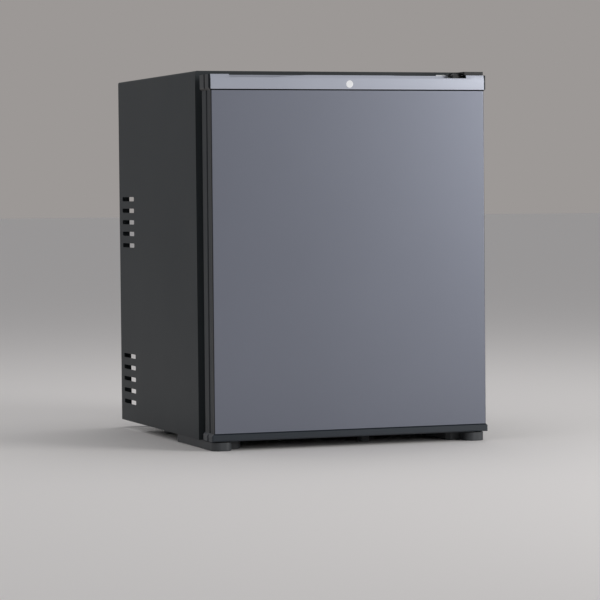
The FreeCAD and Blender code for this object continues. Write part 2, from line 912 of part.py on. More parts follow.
def make_shelf_trims():
    """The moulded strips that clip on the front edges of both shelves."""
    trims = []
    for height in (size.lower_shelf_height, size.upper_shelf_height):
        body = new_body("shelf_trim")
        low = cavity_floor + height
        high = low + size.glass_gauge
        lip = size.trim_gauge
        nose = shelf_front - lip
        back = shelf_front + size.trim_depth
        outline = chain(
            (nose, low - size.trim_drop), (shelf_front, low - size.trim_drop), (shelf_front, low), (shelf_front, high),
            (back, high), (back, high + lip), (nose, high + lip),
        )
        half = cavity_half - size.ledge_depth - size.shelf_side_gap
        pad(body, "X", -half, half, outline)
        trims.append(body)
    return group("shelf_trims", trims)


def make_fin_plate():
    body = new_body("cooling_fins")
    half = size.fin_plate_width / 2
    plate_front = cavity_back - size.fin_plate_gauge
    pad(body, "Y", plate_front, cavity_back, box(-half, fins_bottom, half, fins_top))
    fin = pad(body, "Y", fins_front, plate_front, box(-half, fins_bottom, size.fin_gauge - half, fins_top))
    pitch = (size.fin_plate_width - size.fin_gauge) / (FIN_COUNT - 1)
    repeat(body, fin, "X", pitch, FIN_COUNT)
    return body


def make_drip_tray():
    body = new_body("drip_tray")
    half = size.fin_plate_width / 2 + size.tray_overlap
    tray_front = fins_front - size.tray_overlap
    wall = size.tray_wall
    pad(body, "Z", tray_bottom, tray_top, box(-half, tray_front, half, cavity_back))
    inside = box(wall - half, tray_front + wall, half - wall, cavity_back - wall)
    pocket(body, "Z", tray_bottom + wall, tray_top + size.overrun, inside)
    outlet = faceted(drain_x, drain_height, drain_bore, PIPE_SIDES)
    pocket(body, "Y", cavity_back - wall - size.bore_clearance, cavity_back + size.overrun, outlet)
    return body


def make_drain_tube():
    body = new_body("drain_tube")
    start = cavity_back - size.tray_wall
    fall = box_back + size.drain_reach
    end = vessel_top + size.cup_height + size.drain_end_gap
    stops = bent(size.drain_bend, (start, drain_height), (fall, drain_height), (fall, end))
    pipe(body, "X", drain_x, stops, "Y", start, (drain_x, drain_height), size.drain_radius)
    return body


def make_control_housing():
    body = new_body("control_housing")
    shell = cut_box(control_left, control_front, control_right, control_back, size.control_corner)
    pad(body, "Z", control_bottom, cavity_roof, shell)
    wall = size.control_wall
    inside = cut_box(
        control_left + wall,
        control_front + wall,
        control_right - wall,
        control_back - wall,
        size.control_corner - wall * MITRE_SHARE,
    )
    pocket(body, "Z", control_bottom + wall, cavity_roof + size.overrun, inside)
    pocket(body, "Z", control_bottom - size.overrun, control_bottom + wall, lamp_window())
    hole = circle(knob_x, knob_z, size.spindle_radius + size.bearing_clearance)
    pocket(body, "Y", control_front - size.overrun, control_front + wall, hole)
    return body


def lamp_window():
    left = control_left + size.lamp_side_inset
    middle = (control_front + control_back) / 2
    half = size.lamp_length / 2
    return box(left, middle - half, left + size.lamp_width, middle + half)


def make_lamp_lens():
    body = new_body("lamp_lens")
    low = control_bottom - size.lamp_drop
    pad(body, "Z", low, control_bottom + size.control_wall, lamp_window())
    dress(body, "Chamfer", size.lamp_bevel, rim_edges(body, "Z", low))
    return body


def make_thermostat():
    body = new_body("thermostat")
    half = size.thermostat_width / 2
    back = control_front + size.control_wall
    rise = size.thermostat_height / 2
    outline = box(knob_x - half, knob_z - rise, knob_x + half, knob_z + rise)
    pad(body, "Y", back, back + size.thermostat_depth, outline)
    hole = circle(knob_x, knob_z, size.spindle_radius + size.bearing_clearance)
    pocket(body, "Y", back - size.overrun, control_front + size.spindle_reach + size.control_wall, hole)
    return body


def make_knob():
    """A round knob with a finger bar; its socket takes the spindle."""
    face = control_front - size.knob_gap
    body = new_body("thermostat_knob")
    pad(body, "Y", face - size.knob_height, face, faceted(knob_x, knob_z, size.knob_radius, KNOB_SIDES))
    half = size.knob_bar_width / 2
    reach = size.knob_radius - size.knob_gap
    bar = box(knob_x - half, knob_z - reach, knob_x + half, knob_z + reach)
    pad(body, "Y", face - size.knob_height - size.knob_bar_height, face - size.knob_height, bar)
    socket = circle(knob_x, knob_z, size.spindle_radius)
    pocket(body, "Y", face - size.knob_socket, face + size.overrun, socket)
    return body


def make_spindle():
    start = control_front - size.knob_gap - size.knob_socket
    length = size.knob_gap + size.knob_socket + size.spindle_reach
    spindle = cylinder_part("thermostat_spindle", knob_x, start, knob_z, size.spindle_radius, length, "Y")
    spindle.Label = "thermostat_spindle"
    return spindle


# Feet


def make_shoe(name, side):
    """A front foot: a block under the cabinet with a tongue that reaches forward under the door."""
    body = new_body(name)
    outer = (half_case - size.shoe_inset) * side
    tongue = outer - size.shoe_tongue * side
    shoulder = tongue - size.shoe_shoulder * side
    tail = outer - size.shoe_tail_width * side
    nose = front + size.shoe_front_inset
    step = front + size.shoe_shoulder_inset
    heel = nose + size.shoe_length
    end = heel + size.shoe_tail_length
    cut = size.shoe_corner
    inward = size.shoe_corner * side
    outline = chain(
        (outer, nose), (tongue, nose), (tongue, step), (shoulder + inward, step), (shoulder, step + cut),
        (shoulder, heel - cut), (shoulder + inward, heel), (tail, heel), (tail, end - cut), (tail + inward, end),
        (outer - inward, end), (outer, end - cut),
    )
    pad(body, "Z", zero, case_bottom, outline)
    round_edges(body, size.shoe_nose, "Z", (outer, nose), (tongue, nose))
    dress(body, "Chamfer", size.shoe_bevel, rim_edges(body, "Z", zero))
    places = shoe_screw_places(side)
    wide = size.screw_head_radius + size.recess_clearance
    recesses = [faceted(*place, wide, SCREW_SIDES) for place in places]
    pocket(body, "Z", -size.overrun, size.shoe_recess, *recesses)
    holes = [faceted(*place, size.screw_radius, SCREW_SIDES) for place in places]
    pocket(body, "Z", zero, case_bottom + size.overrun, *holes)
    if side > 0:
        pocket(body, "Z", pin_seat, case_bottom + size.overrun, circle(hinge_x, hinge_y, pin_bore))
    return body


def make_rear_foot(name, side):
    body = new_body(name, (half_case - size.rear_foot_side_inset) * side, box_back - size.rear_foot_back_inset)
    step = size.rear_foot_step
    revolve(
        body, "Z",
        (zero, zero),
        (zero, size.rear_foot_radius - step),
        (step, size.rear_foot_radius),
        (size.foot_height, size.rear_foot_radius),
        (size.foot_height, zero),
    )
    return body


def make_middle_foot():
    body = new_body("middle_foot")
    half = size.middle_foot_width / 2
    left = size.middle_foot_offset - half
    right = size.middle_foot_offset + half
    back = case_front + size.middle_foot_depth
    outline = cut_box(left, case_front, right, back, size.rear_corner)
    pad(body, "Z", zero, case_bottom, outline)
    return body


# Hinges


def make_hinge_plate():
    """A steel angle: one leg on the cabinet's front flange, the other over the door to the pin."""
    body = new_body("upper_hinge_plate")
    nose = size.plate_nose
    arm = chain((hinge_x - nose, case_front), (hinge_x, hinge_y, nose, 180, 360), (hinge_x + nose, case_front))
    pad(body, "Z", plate_bottom, plate_top, arm)
    leg = box(plate_leg_left, plate_top - size.plate_leg_height, plate_leg_right, plate_top)
    pad(body, "Y", case_front - size.plate_gauge, case_front, leg)
    holes = [faceted(x, hinge_screw_z, size.screw_radius, SCREW_SIDES) for x in hinge_screw_xs]
    pocket(body, "Y", case_front - size.plate_gauge - size.overrun, case_front + size.overrun, *holes)
    pocket(body, "Z", plate_bottom - size.overrun, plate_top + size.overrun, circle(hinge_x, hinge_y, pin_bore))
    return body


def make_hinge_cover():
    """A moulded cap over the hinge plate, with the lug that stops the door."""
    body = new_body("upper_hinge_cover")
    inner = size.plate_nose + size.cover_gap
    outer = inner + size.cover_gauge
    low = plate_bottom - size.cover_drop
    roof = plate_top + size.pin_head_height + size.cover_rise
    high = roof + size.cover_gauge
    back = case_front - size.plate_gauge - size.screw_head_height - size.cover_gap

    nose = hinge_y - size.cover_reach
    pad(body, "Z", low, high, box(hinge_x - outer, nose, hinge_x + outer, back))
    round_edges(body, size.cover_corner, "Z", (hinge_x - outer, nose), (hinge_x + outer, nose))
    inside = box(hinge_x - inner, nose + size.cover_gauge, hinge_x + inner, back + size.overrun)
    pocket(body, "Z", low - size.overrun, roof, inside)
    lug_right = hinge_x - inner
    lug_left = lug_right - size.lug_width
    lug = box(lug_left, hinge_y - size.lug_depth, lug_right, hinge_y)
    pad(body, "Z", plate_bottom - size.lug_drop, plate_top, lug)
    round_edges(body, size.lug_corner, "Y", (lug_left, plate_top))
    return body


def make_pins():
    """The upper pin hangs by its head in the hinge plate; the lower one stands in the right foot."""
    upper = new_body("upper_pin", hinge_x, hinge_y)
    pad(upper, "Z", door_top - size.pin_reach, plate_top, circle(zero, zero, size.pin_radius))
    pad(upper, "Z", plate_top, plate_top + size.pin_head_height, circle(zero, zero, size.pin_head_radius))
    lower = new_body("lower_pin", hinge_x, hinge_y)
    pad(lower, "Z", pin_seat, door_bottom + size.pin_reach, circle(zero, zero, size.pin_radius))
    return group("hinge_pins", [upper, lower])


def make_bushes():
    """The door's two flanged bushes: six-sided so that they don't turn, and open right through for the pins."""
    places = (
        (door_top - size.bush_height, door_top, door_top - size.bush_flange_height),
        (door_bottom, door_bottom + size.bush_height, door_bottom),
    )
    bushes = []
    for low, high, flange in places:
        body = new_body("bush", hinge_x, hinge_y)
        pad(body, "Z", low, high, faceted(zero, zero, size.bush_radius, BUSH_SIDES))
        rim = faceted(zero, zero, size.bush_flange_radius, BUSH_SIDES)
        pad(body, "Z", flange, flange + size.bush_flange_height, rim)
        pocket(body, "Z", low - size.overrun, high + size.overrun, circle(zero, zero, pin_bore))
        bushes.append(body)
    return group("hinge_bushes", bushes)


def make_washer():
    body = new_body("hinge_washer", hinge_x, hinge_y)
    low = size.foot_height
    high = door_bottom - size.washer_gap
    rim = faceted(zero, zero, size.bush_flange_radius, BUSH_SIDES)
    pad(body, "Z", low, high, rim, circle(zero, zero, pin_bore))
    return body


def screw(name, x, y, z, axis, length, sign):
    """A hexagon-head screw; its head starts at the point and its shank follows the axis, in the sign's way."""
    head_start = (x, y, z)
    head = size.screw_head_height
    along = "XYZ".index(axis)
    low_head = list(head_start)
    shank = list(head_start)
    if sign > 0:
        shank[along] = shank[along] + head
    else:
        low_head[along] = low_head[along] - head
        shank[along] = shank[along] - head - length
    cap = prism_part(name + "_head", 6, *low_head, size.screw_head_radius, head, axis)
    rod = prism_part(name + "_shank", SCREW_SIDES, *shank, size.screw_radius, length, axis)
    return fused(name, cap, rod)


def make_hinge_screws():
    y = case_front - size.plate_gauge - size.screw_head_height
    return group(
        "hinge_screws",
        [
            screw("hinge_screw_%d" % i, x, y, hinge_screw_z, "Y", size.hinge_screw_length, 1)
            for i, x in enumerate(hinge_screw_xs)
        ],
    )


def make_foot_screws():
    start = size.shoe_recess - size.screw_head_height
    length = pan_top - size.shoe_recess
    screws = []
    for side in (-1, 1):
        for i, (x, y) in enumerate(shoe_screw_places(side)):
            screws.append(screw("foot_screw_%d_%d" % (side + 1, i), x, y, start, "Z", length, 1))
    return group("foot_screws", screws)


# Door


def make_door_panel():
    """The front sheet, folded back round both vertical edges."""
    body = new_body("door_panel")
    inner = profile_half - size.panel_gauge
    back = front + size.panel_gauge
    outline = chain(
        (-profile_half, bead_start), (-profile_half, front), (profile_half, front), (profile_half, bead_start),
        (inner, bead_start), (inner, back), (-inner, back), (-inner, bead_start),
    )
    pad(body, "Z", panel_bottom, panel_top, outline)
    round_edges(body, size.panel_corner, "Z", (-profile_half, front), (profile_half, front))
    round_edges(body, size.panel_corner - size.panel_gauge, "Z", (-inner, back), (inner, back))
    return body


def make_edge_profile(name, side):
    """The moulded edge: a core behind the folded sheet, a bead, a groove and a flat flank."""
    body = new_body(name)
    flank = profile_half * side
    inner = (profile_half - size.panel_gauge) * side
    groove = (profile_half - size.profile_groove_depth) * side
    rebate = door_liner_half * side
    core = core_half * side
    back = front + size.panel_gauge
    outline = chain(
        (core, back), (inner, back), (inner, bead_start), (flank, bead_start),
        (flank, groove_start), (groove, groove_start), (groove, groove_end), (flank, groove_end),
        (flank, door_back), (rebate, door_back), (rebate, liner_skin), (core, liner_skin),
    )
    pad(body, "Z", panel_bottom, panel_top, outline)
    round_edges(body, size.panel_corner - size.panel_gauge, "Z", (inner, back))
    round_edges(body, size.profile_bead_radius, "Z", (flank, groove_start), (flank, groove_end))
    round_edges(body, size.rear_corner, "Z", (flank, door_back))
    return body


def cap_blank(body, low, high):
    """The block that both end caps start from, with its rounded corners and the grooves of the profiles."""
    pad(body, "Z", low, high, box(-half_case, front, half_case, door_back))
    round_edges(body, size.cap_corner, "Z", (-half_case, front), (half_case, front))
    round_edges(body, size.rear_corner, "Z", (-half_case, door_back), (half_case, door_back))
    deep = half_case - size.profile_groove_depth
    wide = half_case + size.overrun
    grooves = [box(deep, groove_start, wide, groove_end), box(-wide, groove_start, -deep, groove_end)]
    pocket(body, "Z", low - size.overrun, high + size.overrun, *grooves)


def flank_bevels(body, edge, away):
    """Bevels both flanks of a cap down to the profiles; away is the edge's direction along Z."""
    lift = edge - size.cap_proud * away
    past = edge + size.overrun * away
    wide = half_case + size.overrun
    outlines = [
        chain((profile_half * side, edge), (half_case * side, lift), (wide * side, lift), (wide * side, past),
              (profile_half * side, past))
        for side in (-1, 1)
    ]
    pocket(body, "Y", front - size.overrun, door_back + size.overrun, *outlines)


def front_bevel(body, edge, away):
    bevel = size.cap_front_bevel
    lift = edge - bevel * away
    past = edge + size.overrun * away
    outline = chain(
        (front + bevel, edge), (front, lift), (front - size.overrun, lift),
        (front - size.overrun, past), (front + bevel, past),
    )
    pocket(body, "X", -half_case - size.overrun, half_case + size.overrun, outline)


def liner_rebate(body, low, high):
    outline = box(-door_liner_half, low, door_liner_half, high)
    pocket(body, "Y", liner_skin, door_back + size.overrun, outline)


def bush_bore(body, low, high, flange_low, flange_high):
    bore = faceted(hinge_x, hinge_y, size.bush_radius + size.bore_clearance, BUSH_SIDES)
    pocket(body, "Z", low, high, bore)
    rim = faceted(hinge_x, hinge_y, size.bush_flange_radius + size.bore_clearance, BUSH_SIDES)
    pocket(body, "Z", flange_low, flange_high, rim)


def grip_wave():
    """What is cleared above the grip's lip: low at both sides, with a raised crown between two waves."""
    low = door_top - size.lip_drop
    high = door_top - size.lip_crown_drop
    above = door_top + size.overrun
    radius = size.wave_radius
    lean = WAVE_LEAN_ANGLE
    return chain(
        (-grip_half, low),
        (-size.wave_start, low + radius, radius, 270, 270 + lean),
        (-size.wave_end, high - radius, radius, 90 + lean, 90),
        (size.wave_end, high - radius, radius, 90, 90 - lean),
        (size.wave_start, low + radius, radius, 270 - lean, 270),
        (grip_half, low),
        (grip_half, above),
        (-grip_half, above),
    )


def make_top_cap():
    """The upper end cap: a finger groove behind a waved lip, and the pocket that the hinge lug swings in."""
    body = new_body("door_top_cap")
    cap_blank(body, panel_top, door_top)
    crease = door_top - size.cap_crease_drop
    above = door_top + size.overrun
    slope = chain(
        (front, crease), (front + size.cap_slope, door_top), (front + size.cap_slope, above),
        (front - size.overrun, above), (front - size.overrun, crease),
    )
    pocket(body, "X", -half_case - size.overrun, half_case + size.overrun, slope)
    flank_bevels(body, panel_top, -1)
    front_bevel(body, panel_top, -1)
    groove_front = front + size.grip_lip
    groove_back = groove_front + size.grip_depth
    trough = rounded_box(-grip_half, groove_front, grip_half, groove_back, size.grip_corner)
    pocket(body, "Z", door_top - size.grip_floor, above, trough)
    pocket(body, "Y", front - size.overrun, groove_front + size.grip_corner, grip_wave())
    lug_near = size.plate_nose + size.cover_gap
    lug_far = lug_near + size.lug_width
    far_reach = Size(math.hypot(lug_far.number, size.lug_depth.number),
                     "sqrt(%s ^ 2 + %s ^ 2)" % (lug_far.text, size.lug_depth.text))
    inner = lug_near - size.lug_clearance
    outer = far_reach + size.lug_clearance
    first = 180 - OPENING_ANGLE - LUG_SPARE_ANGLE
    sweep = ring_sector(hinge_x, hinge_y, inner, outer, first, 180 + LUG_CLOSED_ANGLE)
    floor = plate_bottom - size.lug_drop - size.lug_clearance
    pocket(body, "Z", floor, above, sweep)
    liner_rebate(body, panel_top - size.overrun, door_liner_high)
    wall = size.cap_wall
    socket = box(-socket_half, front + wall, socket_half, liner_skin)
    pocket(body, "Z", panel_top - size.overrun, panel_top + size.cap_socket, socket)
    bush_bore(body, door_top - size.bush_height, above, door_top - size.bush_flange_height, above)
    badge = circle(zero, panel_top + size.badge_rise, size.badge_radius)
    pocket(body, "Y", front - size.overrun, front + size.badge_thickness, badge)
    return body


def make_bottom_cap():
    body = new_body("door_bottom_cap")
    cap_blank(body, door_bottom, panel_bottom)
    flank_bevels(body, panel_bottom, 1)
    front_bevel(body, panel_bottom, 1)
    front_bevel(body, door_bottom, -1)
    liner_rebate(body, door_liner_low, panel_bottom + size.overrun)
    wall = size.cap_wall
    socket = box(-socket_half, front + wall, socket_half, liner_skin)
    pocket(body, "Z", panel_bottom - size.cap_socket, panel_bottom + size.overrun, socket)
    below = door_bottom - size.overrun
    bush_bore(body, below, door_bottom + size.bush_height, below, door_bottom + size.bush_flange_height)
    return body


def make_badge():
    body = new_body("blank_badge")
    disc = circle(zero, panel_top + size.badge_rise, size.badge_radius)
    pad(body, "Y", front, front + size.badge_thickness, disc)
    return body


def make_door_foam():
    body = new_body("door_foam")
    skin = front + size.panel_gauge
    pad(body, "Z", panel_bottom, panel_top, box(-core_half, skin, core_half, liner_skin))
    tongue = box(-socket_half, front + size.cap_wall, socket_half, liner_skin)
    pad(body, "Z", panel_bottom - size.cap_socket, panel_top + size.cap_socket, tongue)
    return body


def make_door_liner():
    """The door's inner skin with two upright ears that carry the racks."""
    body = new_body("door_liner")
    skin = box(-door_liner_half, door_liner_low, door_liner_half, door_liner_high)
    pad(body, "Y", liner_skin, door_back, skin)
    low = cavity_floor + size.ear_end_gap
    high = cavity_roof - size.ear_end_gap
    tip = door_back + size.ear_reach
    ears = [box(rack_half, low, ear_half, high), box(-ear_half, low, -rack_half, high)]
    pad(body, "Y", door_back, tip, *ears)
    round_edges(body, size.ear_corner, "X", (tip, low), (tip, high))
    start = door_back + size.ear_ledge_inset
    end = tip - size.ear_ledge_inset
    for height in (size.lower_rack_height, size.upper_rack_height):
        top = cavity_floor + height
        under = top - size.ear_ledge_height
        edge = rack_half - size.ear_ledge_reach
        steps = [box(edge, under, rack_half, top), box(-rack_half, under, -edge, top)]
        pad(body, "Y", start, end, *steps)
    return body


def make_seal():
    """The door seal: a foot on the liner, a thin neck, and the head that meets the cabinet."""
    body = new_body("door_seal")
    reach = size.seal_overlap
    half = cavity_half + reach
    low = cavity_floor - reach
    high = cavity_roof + reach
    inset = (size.seal_width - size.seal_neck) / 2
    face = case_front - size.seal_clearance
    head = face - size.seal_head_height
    foot = door_back + size.seal_base_height

    def ring(y_low, y_high, near, width):
        far = near + width
        outer = box(near - half, low + near, half - near, high - near)
        inner = box(far - half, low + far, half - far, high - far)
        pad(body, "Y", y_low, y_high, outer, inner)

    ring(door_back, foot, zero, size.seal_width)
    ring(foot, head, inset, size.seal_neck)
    ring(head, face, zero, size.seal_width)
    return body


def make_rack(name, height):
    """A bottle rack: an open bin with a high lip towards the cabinet, resting on the ears' ledges."""
    body = new_body(name)
    half = rack_half - size.rack_fit
    near = door_back + size.rack_fit
    far = door_back + size.ear_reach - size.rack_inset
    low = cavity_floor + height
    rim = far - size.rack_rim
    flank = chain(
        (near, low), (far, low), (far, low + size.rack_high_wall),
        (rim, low + size.rack_high_wall), (near, low + size.rack_low_wall),
    )
    pad(body, "X", -half, half, flank)
    round_edges(body, size.rack_corner, "Z", (-half, far), (half, far))
    wall = size.rack_wall
    inside = rounded_box(wall - half, near + wall, half - wall, far - wall, size.rack_corner - wall)
    pocket(body, "Z", low + wall, low + size.rack_high_wall + size.overrun, inside)
    return body


def make_rail():
    """The bar that keeps tall bottles in the lower rack."""
    y = door_back + size.ear_reach - size.rail_inset
    z = cavity_floor + size.lower_rack_height + size.rail_rise
    rail = cylinder_part("bottle_rail", -rack_half, y, z, size.rail_radius, rack_half * 2, "X")
    rail.Label = "bottle_rail"
    return rail


# Cooling unit


def make_vessel():
    """The absorber vessel: a closed shell with thick ends."""
    body = new_body("absorber_vessel")
    end = size.vessel_end_gauge
    skin = circle(unit_y, size.vessel_height, size.vessel_radius)
    bore = faceted(unit_y, size.vessel_height, size.vessel_radius - size.vessel_gauge, PIPE_SIDES)
    pad(body, "X", vessel_left, vessel_left + end, skin)
    pad(body, "X", vessel_left + end, vessel_right - end, skin, bore)
    pad(body, "X", vessel_right - end, vessel_right, skin)
    return body


def make_coil():
    """The absorber coil: a riser out of the vessel, level runs joined by half turns, and a riser to the gas pipe."""
    body = new_body("absorber_coil")
    left = size.coil_side_inset - half_case
    right = vessel_right - size.coil_end_gap
    gas_x = gas_port[0]
    corners = [(left, vessel_top)]
    for count in range(COIL_TURNS):
        low = coil_start + coil_pitch * (2 * count)
        corners += [(left, low), (right, low), (right, low + coil_pitch), (left, low + coil_pitch)]
    top = coil_start + coil_pitch * (2 * COIL_TURNS - 1)
    corners[-1] = (gas_x, top)
    corners.append((gas_x, gas_start))
    stops = bent(coil_pitch / 2, *corners)
    pipe(body, "Y", unit_y, stops, "Z", vessel_top, (left, unit_y), size.pipe_radius)
    return body


def make_gas_pipe():
    """Carries gas between the coil and the cold plate, through the back wall."""
    body = new_body("gas_pipe")
    x, z = gas_port
    stops = bent(size.pipe_bend, (unit_y, gas_start), (unit_y, z), (cavity_back, z))
    pipe(body, "X", x, stops, "Z", gas_start, (x, unit_y), size.pipe_radius)
    return body


def make_condenser_pipe():
    """Runs level through the fins and turns forward through the back wall."""
    body = new_body("condenser_pipe")
    x, z = liquid_port
    stops = bent(size.pipe_bend, (condenser_start, unit_y), (x, unit_y), (x, cavity_back))
    pipe(body, "Z", z, stops, "X", condenser_start, (unit_y, z), size.pipe_radius)
    return body


def make_rectifier_pipe():
    """Rises from the boiler and turns level towards the condenser."""
    body = new_body("rectifier_pipe")
    z = condenser_z
    stops = bent(size.pipe_bend, (boiler_x, boiler_top), (boiler_x, z), (condenser_start, z))
    pipe(body, "Y", unit_y, stops, "Z", boiler_top, (boiler_x, unit_y), size.pipe_radius)
    return body


def make_condenser_fins():
    z = condenser_z
    half_depth = size.condenser_fin_depth / 2
    half_height = size.condenser_fin_height / 2
    drill_length = size.overrun * 2 + size.condenser_fin_gauge
    first = condenser_start + size.condenser_joint_gap - size.condenser_fin_start
    pitch = (first - liquid_port[0] - size.condenser_fin_end) / (CONDENSER_FIN_COUNT - 1)
    fins = []
    for count in range(CONDENSER_FIN_COUNT):
        name = "condenser_fin_%d" % (count + 1)
        x = first - pitch * count
        low = (x, unit_y - half_depth, z - half_height)
        high = (x + size.condenser_fin_gauge, unit_y + half_depth, z + half_height)
        plate = box_part(name + "_plate", low, high)
        start = x - size.overrun
        drill = prism_part(name + "_drill", PIPE_SIDES, start, unit_y, z, pipe_bore, drill_length, "X")
        fins.append(cut_part(name, plate, drill))
    return group("condenser_fins", fins)


def make_heat_exchanger():
    """The wide pipe from the vessel's end to the foot of the boiler."""
    body = new_body("heat_exchanger")
    z = size.vessel_height - size.exchanger_drop
    stops = bent(size.pipe_bend, (vessel_right, z), (boiler_x, z), (boiler_x, boiler_start))
    pipe(body, "Y", unit_y, stops, "X", vessel_right, (unit_y, z), size.boiler_pipe_radius)
    return body


def make_boiler_casing():
    """A closed sheet can round the boiler tube, with a hole for the heater."""
    body = new_body("boiler_casing", boiler_x, unit_y, boiler_start)
    wall = size.boiler_gauge
    high = size.boiler_height
    skin = circle(zero, zero, size.boiler_radius)
    inside = faceted(zero, zero, size.boiler_radius - wall, PIPE_SIDES)
    pad(body, "Z", zero, wall, skin)
    pad(body, "Z", wall, high - wall, skin, inside)
    pad(body, "Z", high - wall, high, skin, faceted(size.heater_offset, zero, heater_bore, PIPE_SIDES))
    return body


def make_boiler_wool():
    body = new_body("boiler_wool", boiler_x, unit_y, boiler_start)
    wall = size.boiler_gauge
    high = size.boiler_height - wall
    sleeve = faceted(zero, zero, size.boiler_radius - wall, PIPE_SIDES)
    pad(body, "Z", wall, high, sleeve, faceted(zero, zero, boiler_bore, PIPE_SIDES))
    well = faceted(size.heater_offset, zero, heater_bore, PIPE_SIDES)
    pocket(body, "Z", high - size.heater_length, high + size.overrun, well)
    return body


def make_boiler_tube():
    low = boiler_start + size.boiler_gauge
    height = size.boiler_height - size.boiler_gauge * 2
    tube = prism_part("boiler_tube", PIPE_SIDES, boiler_x, unit_y, low, size.boiler_pipe_radius, height)
    tube.Label = "boiler_tube"
    return tube


def make_heater():
    """The heating cartridge beside the boiler tube, with its head above the can."""
    low = boiler_top - size.boiler_gauge - size.heater_length
    length = size.heater_length + size.boiler_gauge + size.heater_rise
    heater = prism_part("heater_cartridge", PIPE_SIDES, heater_x, unit_y, low, size.heater_radius, length)
    heater.Label = "heater_cartridge"
    return heater


def make_wall_plug():
    """The plug that fills the window round the two pipes, with its cover plate outside."""
    body = new_body("wall_plug")
    margin = size.pipe_radius + size.plug_margin
    outline = cut_box(
        gas_port[0] - margin, gas_port[1] - margin, liquid_port[0] + margin, liquid_port[1] + margin,
        size.plug_corner,
    )
    pad(body, "Y", box_back, box_back + size.plug_depth, outline)
    pad(body, "Y", cavity_back, box_back, wall_window())
    holes = [faceted(*port, pipe_bore, PIPE_SIDES) for port in (liquid_port, gas_port)]
    pocket(body, "Y", cavity_back - size.overrun, box_back + size.plug_depth + size.overrun, *holes)
    return body


def bracket_screw_places():
    return [(x, size.vessel_height + size.bracket_rise - size.bracket_screw_inset) for x in bracket_xs]


def make_brackets():
    """Two saddles that hold the vessel off the back panel."""
    brackets = []
    for i, x in enumerate(bracket_xs):
        body = new_body("vessel_bracket_%d" % i)
        half = size.bracket_width / 2
        low = size.vessel_height
        high = size.vessel_height + size.bracket_rise
        pad(body, "X", x - half, x + half, box(box_back, low, box_back + size.bracket_gauge, high))
        saddle_low = size.vessel_height - size.saddle_height / 2
        saddle_high = size.vessel_height + size.saddle_height / 2
        pad(body, "X", x - half, x + half, box(box_back, saddle_low, box_back + size.saddle_depth, saddle_high))
        seat = circle(unit_y, size.vessel_height, size.vessel_radius)
        pocket(body, "X", x - half - size.overrun, x + half + size.overrun, seat)
        hole = faceted(*bracket_screw_places()[i], size.screw_radius, SCREW_SIDES)
        pocket(body, "Y", box_back - size.overrun, box_back + size.bracket_gauge + size.overrun, hole)
        brackets.append(body)
    return group("vessel_brackets", brackets)


def make_bracket_screws():
    y = box_back + size.bracket_gauge + size.screw_head_height
    return group(
        "bracket_screws",
        [
            screw("bracket_screw_%d" % i, x, y, z, "Y", size.bracket_screw_length, -1)
            for i, (x, z) in enumerate(bracket_screw_places())
        ],
    )


def make_cup():
    """The meltwater cup, saddled on the warm vessel under the drain."""
    body = new_body("evaporation_cup")
    half_length = size.cup_length / 2
    half_width = size.cup_width / 2
    left = drain_x - half_length
    right = drain_x + half_length
    low = vessel_top - size.cup_saddle
    high = vessel_top + size.cup_height
    pad(body, "Z", low, high, box(left, unit_y - half_width, right, unit_y + half_width))
    wall = size.cup_wall
    inside = box(left + wall, unit_y - half_width + wall, right - wall, unit_y + half_width - wall)
    pocket(body, "Z", vessel_top + wall, high + size.overrun, inside)
    seat = circle(unit_y, size.vessel_height, size.vessel_radius)
    pocket(body, "X", left - size.overrun, right + size.overrun, seat)
    return body


def make_terminal_box():
    body = new_body("terminal_box")
    y_low = unit_y - size.terminal_depth / 2
    y_high = unit_y + size.terminal_depth / 2
    outline = cut_box(terminal_left, y_low, terminal_right, y_high, size.terminal_corner)
    pad(body, "Z", size.terminal_start_height, terminal_top, outline)
    foot = box(terminal_left, box_back, terminal_right, y_low + size.terminal_corner)
    foot_low = size.terminal_start_height + size.terminal_foot_inset
    pad(body, "Z", foot_low, foot_low + size.terminal_foot_height, foot)
    return body


def make_gland():
    """The cord's gland under the terminal box: a hexagon nut and a collar."""
    x = (terminal_left + terminal_right) / 2
    nut_low = size.terminal_start_height - size.gland_nut_height
    nut = prism_part("gland_nut", 6, x, unit_y, nut_low, size.gland_nut_radius, size.gland_nut_height)
    reach = size.gland_collar_height
    collar_low = nut_low - reach
    radius = size.gland_collar_radius
    collar = prism_part("gland_collar", PIPE_SIDES, x, unit_y, collar_low, radius, reach)
    gland = fused("cable_gland", nut, collar)
    gland.Label = "cable_gland"
    return gland


